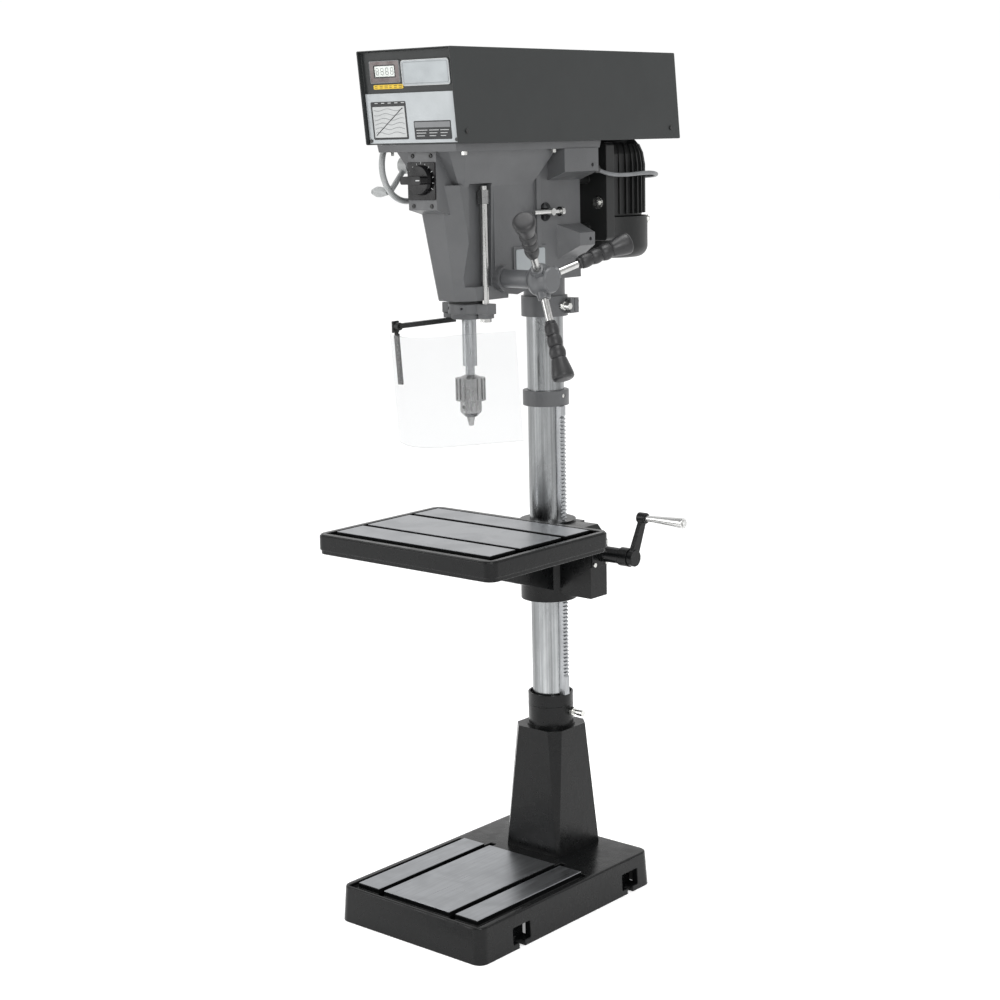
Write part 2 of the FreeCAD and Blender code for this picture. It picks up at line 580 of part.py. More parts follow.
def quill_collar():
    y = -SWING_R
    body = rod(40, (0, y, 1223), (0, y, 1243))
    body = body.fuse(box(-58, 0, y - 13, y + 13, 1223, 1243))
    body = body.fuse(box(0, 64, y - 18, y + 8, 1223, 1243))
    body = body.fuse(box(38, 62, y - 16, y + 4, 1215, 1224))
    body = body.fuse(rod(34, (0, y, 1213), (0, y, 1224)))
    body = body.fuse(box(-56, -28, y - 12, y + 10, 1213, 1224))
    body = body.cut(rod(QUILL_R, (0, y, 1224), (0, y, 1250)))
    body = body.cut(rod(24, (0, y, 1200), (0, y, 1230)))
    depth_foot, depth_head = (DEPTH_ROD_X, DEPTH_ROD_Y, 1200), (DEPTH_ROD_X, DEPTH_ROD_Y, 1250)
    body = body.cut(rod(DEPTH_ROD_R, depth_foot, depth_head))
    body = body.cut(rod(3, (-24, y - 60, 1234), (-24, y - 28, 1234)))
    return body.cut(rod(2.4, (14, y - 60, 1234), (14, y - 30, 1234))).removeSplitter()


def depth_rod():
    x, y = DEPTH_ROD_X, DEPTH_ROD_Y
    stem = rod(DEPTH_ROD_R, (x, y, 1212), (x, y, DEPTH_ROD_TOP))
    return fuse(stem, hex_prism(20, (x, y, 1208), Z, 6.8))


def depth_nuts():
    x, y = DEPTH_ROD_X, DEPTH_ROD_Y
    bore = rod(DEPTH_ROD_R + RUN, (x, y, 1300), (x, y, 1500))
    lower = hex_prism(21, (x, y, DEPTH_NUT_Z), Z, DEPTH_NUT_H)
    upper = hex_prism(21, (x, y, DEPTH_NUT_Z + DEPTH_NUT_H + GAP), Z, DEPTH_NUT_H)
    return [lower.cut(bore), upper.cut(bore)]


def spindle():
    y = -SWING_R
    parts = [rod(14, (0, y, 1121), (0, y, 1243)), rod(9, (0, y, 1104), (0, y, 1122)),
             cone(7.0, 8.5, (0, y, 1070), (0, y, 1105)),
             rod(13.9, (0, y, 1242), (0, y, 1396)), rod(11.95, (0, y, 1395), (0, y, 1440)),
             rod(8, (0, y, 1439), (0, y, 1660))]
    for k in range(6):
        spline = box(6, 9.6, -1.6, 1.6, 1450, 1660)
        spline.rotate(V(0, 0, 0), Z, 60 * k)
        spline.translate(V(0, y, 0))
        parts.append(spline)
    return fuse(*parts)


def chuck_frame(shape, angle):
    """Turn a shape built about the local +Z axis and leaning to +X into the chuck's place."""
    shape = shape.copy()
    shape.rotate(V(0, 0, 0), Z, angle)
    shape.translate(V(0, -SWING_R, CHUCK_TIP))
    return shape


def chuck_jaw(number):
    lean = V(sin(radians(JAW_TILT)), 0, cos(radians(JAW_TILT)))
    blank = Part.makeCylinder(JAW_R, JAW_LEN, V(0, 0, 0) - lean * 2, lean)
    wedge = prism([(0.25, 0, -10), (20, 20 * tan(radians(60)) - 0.5, -10),
                   (20, -20 * tan(radians(60)) + 0.5, -10)], (0, 0, 100))
    blank = blank.common(wedge).cut(box(-20, 20, -20, 20, -20, 0))
    tip = Part.makeCone(5.0, 12.0, 26, V(0, 0, 0), Z)
    blank = blank.common(tip.fuse(box(-40, 40, -40, 40, 25.9, 90)))
    return chuck_frame(blank, 120 * number + 90)


def chuck_body():
    y = -SWING_R
    profile = [(0, CHUCK_NOSE_Z), (12, CHUCK_NOSE_Z), (20, CHUCK_NOSE_Z + 8), (21, CHUCK_NOSE_Z + 12),
               (21, CHUCK_SLEEVE_Z - 0.8), (24.2, CHUCK_SLEEVE_Z - 0.8), (24.2, CHUCK_TOP - 2),
               (10, CHUCK_TOP + 4), (0, CHUCK_TOP + 4)]
    body = turned(profile, (0, y))
    body = body.cut(cone(7.0, 8.5, (0, y, 1070), (0, y, 1105)))
    body = body.cut(rod(7.0, (0, y, 1060), (0, y, 1071)))
    lean = V(sin(radians(JAW_TILT)), 0, cos(radians(JAW_TILT)))
    for k in range(3):
        hole = Part.makeCylinder(JAW_R + 0.25, JAW_LEN + 30, V(0, 0, 0) - lean * 6, lean)
        body = body.cut(chuck_frame(hole, 120 * k + 90))
        key = rod(3, (12, 0, 38), (30, 0, 38))
        body = body.cut(chuck_frame(key, 120 * k + 30))
    return body.removeSplitter()


def chuck_sleeve():
    y = -SWING_R
    body = ring(24.2 + 0.1, 29.5, 0, y, CHUCK_SLEEVE_Z, CHUCK_TOP - 2)
    for k in range(16):
        a = 2 * pi * k / 16
        groove = box(26.4, 32, -2.1, 2.1, CHUCK_SLEEVE_Z + 3, CHUCK_TOP)
        groove.rotate(V(0, 0, 0), Z, degrees(a))
        groove.translate(V(0, y, 0))
        body = body.cut(groove)
    return body.removeSplitter()


# ---------------------------------------------------------------- guard
def guard_arm():
    px, py, pz = GUARD_PIVOT
    bar = box(px - 5, px + 5, py + 9, -225, 1204, 1213)
    eye = rod(7.5, (px - 5, py, pz), (px + 5, py, pz))
    body = fuse(bar, eye, box(px - 5, px + 5, py, py + 10, 1204, 1213))
    return body.cut(rod(3 + RUN, (px - 20, py, pz), (px + 20, py, pz))).removeSplitter()


def guard_bracket():
    """Fork and strap that carry the clear sheet, with the pivot pin."""
    px, py, pz = GUARD_PIVOT
    cheek = box(px - 9.3, px - 5.3, py - 8, py + 8, pz - 12, pz + 10)
    pin = rod(3, (px - 9, py, pz), (px + 8, py, pz))
    strap = box(px - 9.3, px + 1, -2.6, 1.2, -112, -14)
    strap = leaned(strap, py)
    bridge = box(px - 9.3, px - 5.3, py - 1, py + 6, pz - 24, pz - 11)
    return fuse(cheek, pin, bridge, strap)


def leaned(shape, y_top):
    """Lean a piece drawn about the guard's pivot line so that its foot goes back."""
    shape = shape.copy()
    shape.rotate(V(0, 0, 0), X, GUARD_LEAN)
    shape.translate(V(0, y_top, GUARD_PIVOT[2]))
    return shape


def chuck_guard():
    """Clear sheet bent round the chuck: two flats joined by a large curve."""
    thick, r = 2.5, 85.0
    a, q, b = V(-70, 1.5, 0), V(10.6, -34.4, 0), V(158, 106.6, 0)
    u, w = (a - q), (b - q)
    u.normalize()
    w.normalize()
    half = acos(u.dot(w)) / 2
    run = r / tan(half)
    t1, t2 = q + u * run, q + w * run
    bis = u + w
    bis.normalize()
    centre = q + bis * (r / sin(half))
    mid = centre - bis * r
    outer = [Part.LineSegment(a, t1).toShape(), Part.Arc(t1, mid, t2).toShape(),
             Part.LineSegment(t2, b).toShape()]
    def inward(p):
        away = centre - p
        away.normalize()
        return p + away * thick
    n1, n2 = inward(t1) - t1, inward(t2) - t2
    inner = [Part.LineSegment(b, b + n2).toShape(), Part.LineSegment(b + n2, t2 + n2).toShape(),
             Part.Arc(t2 + n2, inward(mid), t1 + n1).toShape(),
             Part.LineSegment(t1 + n1, a + n1).toShape(), Part.LineSegment(a + n1, a).toShape()]
    sheet = Part.Face(Part.Wire(outer + inner)).extrude(V(0, 0, 212))
    sheet.translate(V(0, 0, -228))
    return leaned(sheet, GUARD_PIVOT[1])


# ---------------------------------------------------------------- feed
def feed_shaft():
    """Pinion shaft with the flange that the lever hub bolts to."""
    w = HEAD_HALF_W
    core = rod(9, (-w - 30, FEED_Y, FEED_Z), (HUB_X, FEED_Y, FEED_Z))
    journals = [rod(15, (w - 16, FEED_Y, FEED_Z), (w + 12, FEED_Y, FEED_Z)),
                rod(15, (-w - 7, FEED_Y, FEED_Z), (-30, FEED_Y, FEED_Z)),
                rod(17.5, (w + 11, FEED_Y, FEED_Z), (HUB_X - 14, FEED_Y, FEED_Z))]
    pinion = involute_gear(FEED_MODULE, FEED_TEETH, 40)
    pinion.translate(V(0, 0, -20))
    pinion.rotate(V(0, 0, 0), Y, 90)
    pinion.translate(V(0, FEED_Y, FEED_Z))
    return fuse(core, *journals, pinion)


def lever_line(angle, distance):
    a, tilt = radians(angle), radians(LEVER_TILT)
    return (HUB_X + distance * sin(tilt), FEED_Y + distance * cos(tilt) * cos(a),
            FEED_Z + distance * cos(tilt) * sin(a))


def feed_hub():
    profile = [(0, HUB_X - 16), (23, HUB_X - 16), (29, HUB_X - 9), (HUB_R, HUB_X - 2),
               (HUB_R - 1, HUB_X + 6), (26, HUB_X + 14), (25, HUB_X + 28), (22, HUB_X + 32), (0, HUB_X + 32)]
    body = turned(profile)
    body.rotate(V(0, 0, 0), Y, 90)
    body.translate(V(0, FEED_Y, FEED_Z))
    body = body.cut(rod(9, (HUB_X - 20, FEED_Y, FEED_Z), (HUB_X, FEED_Y, FEED_Z)))
    body = body.cut(rod(17.5, (HUB_X - 20, FEED_Y, FEED_Z), (HUB_X - 14, FEED_Y, FEED_Z)))
    for angle in LEVER_ANGLES:
        body = body.fuse(cone(15, 12, lever_line(angle, 14), lever_line(angle, LEVER_ROOT + 6)))
    for angle in LEVER_ANGLES:
        body = body.cut(rod(LEVER_R, lever_line(angle, 20), lever_line(angle, 60)))
    return body.removeSplitter()


def feed_rods():
    return [rod(LEVER_R, lever_line(a, 20), lever_line(a, LEVER_END - 22)) for a in LEVER_ANGLES]


def feed_grips():
    """Contoured grips that widen to a rounded end."""
    length = LEVER_END - GRIP_START
    radii = [(0.0, 10.5), (0.05, 13.0), (0.22, 13.8), (0.40, 13.6), (0.60, 15.2), (0.74, 16.8),
             (0.86, 19.8), (0.94, 21.8), (0.985, 20.0), (1.0, 15.0)]
    profile = [(LEVER_R, 0)] + [(r, t * length) for t, r in radii]
    profile += [(0, length), (0, length - 22), (LEVER_R, length - 22)]
    grips = []
    for angle in LEVER_ANGLES:
        start = V(*lever_line(angle, GRIP_START))
        end = V(*lever_line(angle, LEVER_END))
        grips.append(moved_to(turned(profile), tuple(start), tuple(end - start)))
    return grips


def feed_spring_case():
    w = HEAD_HALF_W
    case = rod(34, (-w - 34, FEED_Y, FEED_Z), (-w - 8.2, FEED_Y, FEED_Z))
    case = case.cut(rod(30, (-w - 31, FEED_Y, FEED_Z), (-w - 10, FEED_Y, FEED_Z)))
    return case.cut(rod(15 + GAP, (-w - 20, FEED_Y, FEED_Z), (-w - 5, FEED_Y, FEED_Z)))


# ---------------------------------------------------------------- drive
def sheave(top_side, centre_y, belt_r, bore):
    """One half of a variable pulley; its cone face lies against the belt's edge."""
    sign = 1 if top_side else -1
    slope = tan(radians(13))

    def face(r):
        return BELT_Z + sign * (BELT_W / 2 + 0.15 + (r - belt_r) * slope)
    profile = [(bore, face(24)), (24, face(24)), (SHEAVE_R, face(SHEAVE_R)),
               (SHEAVE_R, face(SHEAVE_R) + sign * 3), (34, face(34) + sign * 8),
               (28, face(34) + sign * 14), (bore, face(34) + sign * 14)]
    return turned(profile, (0, centre_y))


def pulley_sleeve():
    """Splined sleeve that drives the spindle and carries both pulley halves."""
    y = -SWING_R
    body = rod(19, (0, y, 1496), (0, y, 1680))
    bore = rod(8 + RUN, (0, y, 1490), (0, y, 1700))
    for k in range(6):
        slot = box(5, 9.6 + 0.1, -1.7, 1.7, 1490, 1700)
        slot.rotate(V(0, 0, 0), Z, 60 * k)
        slot.translate(V(0, y, 0))
        bore = bore.fuse(slot)
    return body.cut(bore).removeSplitter()


def pulley_bearings():
    return [ring(19 + RUN, 30, 0, -SWING_R, 1499, 1515), ring(19 + RUN, 30, 0, -SWING_R, 1528, 1545)]


def spindle_sheave_lower():
    return sheave(False, -SWING_R, SPINDLE_BELT_R, 19 + RUN)


def spindle_sheave_upper():
    return sheave(True, -SWING_R, SPINDLE_BELT_R, 19)


def motor_sheave_lower():
    return sheave(False, MOTOR_Y, MOTOR_BELT_R, 12)


def motor_sheave_upper():
    return sheave(True, MOTOR_Y, MOTOR_BELT_R, 12 + RUN)


def drive_belt():
    """Wide V-belt round both pulleys, its flanks at the pulleys' cone angle."""
    def section(offset, z):
        y0, y1 = -SWING_R, MOTOR_Y
        r0, r1 = SPINDLE_BELT_R + offset, MOTOR_BELT_R + offset
        lean = asin((r0 - r1) / (y1 - y0))
        c, s = cos(lean), sin(lean)
        a0, a1 = V(r0 * c, y0 + r0 * s, z), V(r1 * c, y1 + r1 * s, z)
        b0, b1 = V(-r0 * c, y0 + r0 * s, z), V(-r1 * c, y1 + r1 * s, z)
        return Part.Wire([Part.LineSegment(a0, a1).toShape(), Part.Arc(a1, V(0, y1 + r1, z), b1).toShape(),
                          Part.LineSegment(b1, b0).toShape(), Part.Arc(b0, V(0, y0 - r0, z), a0).toShape()])
    half, grow = BELT_W / 2, BELT_T / 2
    narrow = grow * tan(radians(13))
    outer = Part.Face(section(grow, BELT_Z - half - narrow + 2.8))
    outer = outer.extrude(V(0, 0, BELT_W + 2 * narrow - 5.6))
    return outer.cut(Part.Face(section(-grow, BELT_Z - 30)).extrude(V(0, 0, 60)))


def speed_shaft():
    """Handwheel shaft with the pinion that lifts the yoke."""
    shaft = rod(8, (-128, WHEEL_Y, WHEEL_Z), (-36, WHEEL_Y, WHEEL_Z))
    pinion = involute_gear(2.0, 12, 14, 0.7, 0.25)
    pinion.rotate(V(0, 0, 0), Y, 90)
    pinion.translate(V(-56, WHEEL_Y, WHEEL_Z))
    return fuse(shaft, pinion)


def speed_wheel():
    """Open-spoked handwheel: a rim, three spokes and a hub."""
    x = -130.0
    rim = Part.makeTorus(SPEED_WHEEL_R - 6, 6, V(x, WHEEL_Y, WHEEL_Z), X)
    hub = rod(17, (x - 9, WHEEL_Y, WHEEL_Z), (x + 14, WHEEL_Y, WHEEL_Z))
    parts = [rim, hub]
    for k in range(3):
        a = radians(226 + 120 * k)
        tip = (x, WHEEL_Y + (SPEED_WHEEL_R - 6) * cos(a), WHEEL_Z + (SPEED_WHEEL_R - 6) * sin(a))
        parts.append(rod(5.5, (x, WHEEL_Y, WHEEL_Z), tip))
    ky, kz = speed_knob_place()
    parts.append(rod(3.5, (x - 44, ky, kz), (x, ky, kz)))
    parts.append(rod(5.5, (x - 46.5, ky, kz), (x - 44, ky, kz)))
    body = fuse(*parts)
    return body.cut(rod(8, (x + 2, WHEEL_Y, WHEEL_Z), (x + 40, WHEEL_Y, WHEEL_Z))).removeSplitter()


def speed_knob_place():
    a = radians(226)
    return WHEEL_Y + (SPEED_WHEEL_R - 6) * cos(a), WHEEL_Z + (SPEED_WHEEL_R - 6) * sin(a)


def speed_wheel_knob():
    ky, kz = speed_knob_place()
    profile = [(3.5 + RUN, 6.4), (6, 6.4), (8, 14), (10.3, 26), (10.3, 34), (8, 41), (5.6, 43.6),
               (3.5 + RUN, 43.6)]
    body = turned(profile)
    body.rotate(V(0, 0, 0), Y, -90)
    body.translate(V(-130, ky, kz))
    return body


# ---------------------------------------------------------------- motor
def motor_plate():
    """Cast mounting plate behind the head, with two slide bars into the head."""
    w, y0, y1 = MOTOR_PLATE_W, *MOTOR_PLATE_Y
    body = box(-w, w, y0, y1, 1347, HEAD_FLANGE_Z1 - 4)
    body = body.makeFillet(8, [e for e in body.Edges if abs(e.Length - (y1 - y0)) < 0.01])
    feet = [box(-60, 60, y1 - 1, 150, z, z + 26) for z in (1404, 1500)]
    body = fuse(body, *feet)
    return body.cut(rod(MOTOR_R - 6, (0, MOTOR_Y, 1300), (0, MOTOR_Y, 1600))).removeSplitter()


def slide_bars():
    y0, y1 = HEAD_REAR + 0.1, MOTOR_PLATE_Y[0] + 0.1
    return [rod(9, (x, y0, z), (x, y1, z)) for x in (-40, 40) for z in (1372, 1470)]


def motor_plate_bolts():
    found = []
    for x in (-71.0, 71.0):
        face = MOTOR_PLATE_Y[0] - 0.1
        washer = rod(12, (x, face - 2.4, 1423), (x, face, 1423))
        found.append(fuse(washer, rod(6, (x, face - 7, 1423), (x, face - 2, 1423))))
    return found


def motor_housing():
    """Finned shell with a domed upper end, open below for the fan cover."""
    y = MOTOR_Y
    shell = [(MOTOR_R - 16, MOTOR_SPLIT + 2), (MOTOR_R - 8, MOTOR_SPLIT + 2), (MOTOR_R - 8, 1518),
             (MOTOR_R - 14, 1538), (MOTOR_R - 26, MOTOR_Z1), (16, MOTOR_Z1), (16, MOTOR_Z1 - 8),
             (MOTOR_R - 30, MOTOR_Z1 - 8), (MOTOR_R - 20, 1532), (MOTOR_R - 16, 1516)]
    body = turned(shell, (0, y))
    fins = []
    r, z0 = MOTOR_R, MOTOR_SPLIT + 6
    outline = [(r - 12, 0, z0), (r, 0, z0), (r, 0, 1496), (r - 4, 0, 1520), (r - 12, 0, 1538),
               (r - 15, 0, 1532)]
    for k in range(32):
        angle = k * 11.25
        if 225 < angle < 315:
            continue
        fin = prism(outline, (0, 2.6, 0))
        fin.translate(V(0, -1.3, 0))
        fin.rotate(V(0, 0, 0), Z, angle)
        fin.translate(V(0, y, 0))
        fins.append(fin)
    body = body.fuse(fins)
    for z in (1404, 1500):
        pad = box(-56, 56, 130, 149, z + 1, z + 25)
        pad = pad.common(rod(r - 6, (0, y, 1380), (0, y, 1560))).cut(rod(r - 12, (0, y, 1380), (0, y, 1560)))
        body = body.fuse(pad)
    return body.removeSplitter()


def motor_stator():
    return ring(44, MOTOR_R - 16, 0, MOTOR_Y, 1412, 1508)


def motor_rotor():
    y = MOTOR_Y
    return fuse(rod(43.5, (0, y, 1414), (0, y, 1506)), rod(12, (0, y, 1345), (0, y, 1666)))


def motor_bearings():
    plate = ring(24, MOTOR_R - 16, 0, MOTOR_Y, 1398, 1404)
    return [ring(12 + RUN, 16, 0, MOTOR_Y, MOTOR_Z1 - 8, MOTOR_Z1),
            ring(12 + RUN, 24, 0, MOTOR_Y, 1397, 1409), plate]


def motor_fan():
    y = MOTOR_Y
    parts = [ring(12, 20, 0, y, 1350, 1376), ring(19, 60, 0, y, 1374, 1377)]
    for k in range(8):
        blade = box(19, 62, -1.2, 1.2, 1352, 1375)
        blade.rotate(V(0, 0, 0), Z, 45 * k)
        blade.translate(V(0, y, 0))
        parts.append(blade)
    return fuse(*parts)


def fan_cover():
    r = FAN_COVER_R
    outer = rod(r, (0, MOTOR_Y, MOTOR_Z0), (0, MOTOR_Y, MOTOR_SPLIT))
    outer = outer.makeFillet(24, edges_at_z(outer, MOTOR_Z0))
    inner = rod(r - 3, (0, MOTOR_Y, MOTOR_Z0 + 3), (0, MOTOR_Y, MOTOR_SPLIT + 1))
    inner = inner.makeFillet(22, edges_at_z(inner, MOTOR_Z0 + 3))
    body = outer.cut(inner)
    for k in range(-4, 5):
        half = sqrt(44 ** 2 - (k * 9.0) ** 2)
        body = body.cut(box(-half, half, MOTOR_Y + k * 9 - 2.2, MOTOR_Y + k * 9 + 2.2, 1300, MOTOR_Z0 + 5))
    return body.removeSplitter()


def junction_box():
    """Terminal box on the motor's left rear side with the cable's gland."""
    body = box(-62, -6, 265, 319, 1440, 1512)
    body = body.makeFillet(5, [e for e in body.Edges if abs(e.Length - 54) < 0.01])
    return body.cut(rod(MOTOR_R + 0.2, (0, MOTOR_Y, 1400), (0, MOTOR_Y, 1550)))


def belt_cover():
    w, z0, z1 = COVER_HALF_W, COVER_Z0 + 0.2, HEIGHT
    (t0, t1), (b0, b1) = COVER_TOP_Y, COVER_BOTTOM_Y
    outer = prism([(-w, b0, z0), (-w, t0, z1), (-w, t1, z1), (-w, b1, z0)], (2 * w, 0, 0))
    outer = outer.makeFillet(3, [e for e in outer.Edges if abs(e.Length - 2 * w) < 0.1])
    s = SHEET
    inner = prism([(-w + s, b0 + 10 + s, z0 - 1), (-w + s, t0 + 10 + s, z1 - s), (-w + s, t1 - s, z1 - s),
                   (-w + s, b1 - s, z0 - 1)], (2 * w - 2 * s, 0, 0))
    recess = prism([(-w + s, b0 - 5, z0 - 1), (-w + s, t0 - 5, z1 - s), (-w + s, t0 + 10, z1 - s),
                    (-w + s, b0 + 10, z0 - 1)], (2 * w - 2 * s, 0, 0))
    shell = outer.cut(inner).cut(recess)
    lips = [box(*sorted((side * (w - s + 0.1), side * 94.0)), -360, 60, z0, z0 + 2.5) for side in (-1, 1)]
    return fuse(shell, *lips)


def front_point(x, drop, out):
    """A point on the leaning front panel: drop below its top edge, out in front of it."""
    lean = atan2(COVER_BOTTOM_Y[0] - COVER_TOP_Y[0], HEIGHT - COVER_Z0)
    top = V(x, COVER_TOP_Y[0] + 10, HEIGHT - SHEET)
    return top + V(0, sin(lean), -cos(lean)) * drop + V(0, -cos(lean), -sin(lean)) * out


def front_plate(x0, x1, drop0, drop1, out0, out1, corner=0.0):
    """A thin plate parallel to the front panel."""
    points = [front_point(x0, drop0, out0), front_point(x1, drop0, out0),
              front_point(x1, drop1, out0), front_point(x0, drop1, out0)]
    along = front_point(x0, drop0, out1) - points[0]
    plate = prism([tuple(p) for p in points], tuple(along))
    if corner:
        corners = [e for e in plate.Edges if abs(e.Length - abs(out1 - out0)) < 0.01]
        plate = plate.makeFillet(corner, corners)
    return plate


def front_panel():
    return front_plate(-113, 113, 76, 168, 0.2, 2.2)


def badge_plate():
    return front_plate(-13, 106, 17, 64, 0.2, 2.4, 6)


def display_bezel():
    body = front_plate(-92, -18, 17, 56, 0.2, 4.0, 2)
    return body.cut(front_plate(-81, -29, 25, 46, 1.2, 6))


def display_glass():
    return front_plate(-80.8, -29.2, 25.2, 45.8, 1.4, 3.2)


def panel_screws():
    found = []
    for x in (-108, 108):
        start = front_point(x, 163, 2.4)
        found.append(rod(3.4, tuple(start), tuple(front_point(x, 163, 4.2))))
    return found


def cover_screws():
    found = []
    for side in (-1, 1):
        for y in (-356.0, 276.0):
            near, far = side * (COVER_HALF_W + 0.1), side * (COVER_HALF_W + 2.3)
            found.append(rod(4.5, (near, y, COVER_Z0 + 22), (far, y, COVER_Z0 + 22)))
    return found


# ---------------------------------------------------------------- controls
def switch_plate():
    plate = box(-35, 35, -356, -353.2, 1444, 1514)
    return plate.makeFillet(3, [e for e in plate.Edges if abs(e.Length - 2.8) < 0.01])


def switch_knob():
    """Round dial with a bar handle across it."""
    z, half = SWITCH_Z, SWITCH_R - 2
    skirt = rod(SWITCH_R, (0, -356.4, z), (0, -360, z))
    skirt = skirt.fuse(cone(SWITCH_R, SWITCH_R - 2, (0, -360, z), (0, -366, z)))
    grip = box(-half, half, -386, -364, z - 7.5, z + 7.5)
    grip = grip.makeFillet(4.5, [e for e in grip.Edges if abs(e.Length - 22) < 0.01])
    return fuse(skirt, grip)


def tension_lock():
    """Lock stud on the head's right wall with its cross bar."""
    x = HEAD_HALF_W
    stud = rod(7, (x - 18, LOCK_Y, LOCK_Z), (x + 22, LOCK_Y, LOCK_Z))
    bar = rod(5, (x + 16, -115, LOCK_Z + 1), (x + 16, -36, LOCK_Z))
    head = rod(9.5, (x + 16, -36, LOCK_Z), (x + 16, -28, LOCK_Z))
    return fuse(stud, bar, head)


def cable_route():
    """The motor cable's route from the head's upper block round the motor to its box."""
    return [(89.0, 55.2, 1493.0), (89.0, 68.0, 1489.0), (96.0, 84.0, 1482.0), (102.0, 106.0, 1478.0),
            (106.0, 140.0, 1477.0), (106.0, 180.0, 1479.0), (103.0, 226.0, 1480.0), (90.0, 266.0, 1476.0),
            (62.0, 296.0, 1472.0), (28.0, 308.0, 1470.0), (-5.8, 308.0, 1470.0)]


def tube_along(points, r):
    """A round tube along straight runs joined by tangent arcs as large as the runs allow."""
    route = [V(*p) for p in points]
    edges, at = [], route[0]
    for before, corner, after in zip(route, route[1:], route[2:]):
        into, away = corner - before, after - corner
        turn = into.getAngle(away)
        shorter = min(into.Length, away.Length)
        back = 0.45 * shorter
        radius = back / tan(turn / 2)
        into.normalize()
        away.normalize()
        start, end = corner - into * back, corner + away * back
        bisector = (away - into)
        bisector.normalize()
        middle = corner + bisector * (radius / cos(turn / 2) - radius)
        edges += [Part.LineSegment(at, start).toShape(), Part.Arc(start, middle, end).toShape()]
        at = end
        print(f"cable arc radius {radius:7.1f}")
    edges.append(Part.LineSegment(at, route[-1]).toShape())
    path = Part.Wire(edges)
    circle = Part.Wire(Part.Circle(route[0], route[1] - route[0], r).toShape())
    tube = path.makePipeShell([circle], True, True)
    print(f"cable length {path.Length:.1f}, volume ratio {tube.Volume / (pi * r * r * path.Length):.4f}")
    return tube


def motor_cable():
    return tube_along(cable_route(), CABLE_R)


def table_lock():
    return fuse(table_lock_bolt(), table_lock_lever())


def spindle_pulley():
    return fuse(pulley_sleeve(), spindle_sheave_upper())


GROUPS = {
    "base": base,
    "pedestal": pedestal,
    "stand_bolts": lambda: pedestal_bolts() + [foot_clamp_bolt(), ring_set_screw()],
    "foot_collar": foot_collar,
    "rack_ring": rack_ring,
    "column": column,
    "column_rack": column_rack,
    "table_bracket": table_bracket,
    "lift_gear": lift_gear,
    "crank_shaft": crank_shaft,
    "crank_arm": crank_arm,
    "crank_handle": crank_handle,
    "gear_cover": gear_cover,
    "table_bolts": lambda: table_bolts() + gear_cover_screws(),
    "table_lock": table_lock,
    "table": table,
    "head_casting": head_casting,
    "head_bolts": lambda: (head_clamp_bolts() + flange_nuts() + motor_plate_bolts() + cover_screws()
                           + panel_screws()),
    "quill": quill,
    "quill_bearings": quill_bearings,
    "bump_ring": bump_ring,
    "quill_collar": quill_collar,
    "depth_rod": depth_rod,
    "depth_nuts": depth_nuts,
    "spindle": spindle,
    "chuck_body": chuck_body,
    "chuck_sleeve": chuck_sleeve,
    "chuck_jaw_1": lambda: chuck_jaw(0),
    "chuck_jaw_2": lambda: chuck_jaw(1),
    "chuck_jaw_3": lambda: chuck_jaw(2),
    "guard_arm": guard_arm,
    "guard_bracket": guard_bracket,
    "chuck_guard": chuck_guard,
    "feed_shaft": feed_shaft,
    "feed_hub": feed_hub,
    "feed_rods": feed_rods,
    "feed_grips": feed_grips,
    "feed_spring_case": feed_spring_case,
    "spindle_pulley": spindle_pulley,
    "spindle_sheave": spindle_sheave_lower,
    "motor_pulley": motor_sheave_lower,
    "motor_sheave": motor_sheave_upper,
    "drive_belt": drive_belt,
    "drive_bearings": lambda: pulley_bearings() + motor_bearings(),
    "speed_shaft": speed_shaft,
    "speed_wheel": speed_wheel,
    "speed_wheel_knob": speed_wheel_knob,
    "motor_plate": lambda: fuse(motor_plate(), *slide_bars()),
    "motor_housing": motor_housing,
    "fan_cover": fan_cover,
    "motor_stator": motor_stator,
    "motor_rotor": lambda: [motor_rotor(), motor_fan()],
    "junction_box": junction_box,
    "motor_cable": motor_cable,
    "belt_cover": belt_cover,
    "label_plates": lambda: [front_panel(), badge_plate(), side_label_plate()],
    "display_unit": lambda: [display_bezel(), display_glass()],
    "switch_plate": switch_plate,
    "switch_knob": switch_knob,
    "tension_lock": tension_lock,
}


def export(name, shape):
    shapes = shape if isinstance(shape, list) else [shape]
    solids = [s for one in shapes for s in one.Solids]
    whole = solids[0] if len(solids) == 1 else Part.makeCompound(solids)
    for s in solids:
        if not s.isValid():
            print("invalid solid in", name)
    print(f"{name:24s} {len(solids)} solid(s) {sum(s.Volume for s in solids) / 1000:9.1f} cm3")
    whole.exportStep(f"parts/{name}.step")


os.makedirs("parts", exist_ok=True)
for node, make in GROUPS.items():
    export(node, make())
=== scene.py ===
"""Looks of a floor-standing drill press: finished castings, panel, grips, cable and light.

Metres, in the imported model's frame: +X is the feed lever side, -Y the front, +Z up.
"""
import json
import math

import bmesh
import bpy
from mathutils import Matrix, Vector


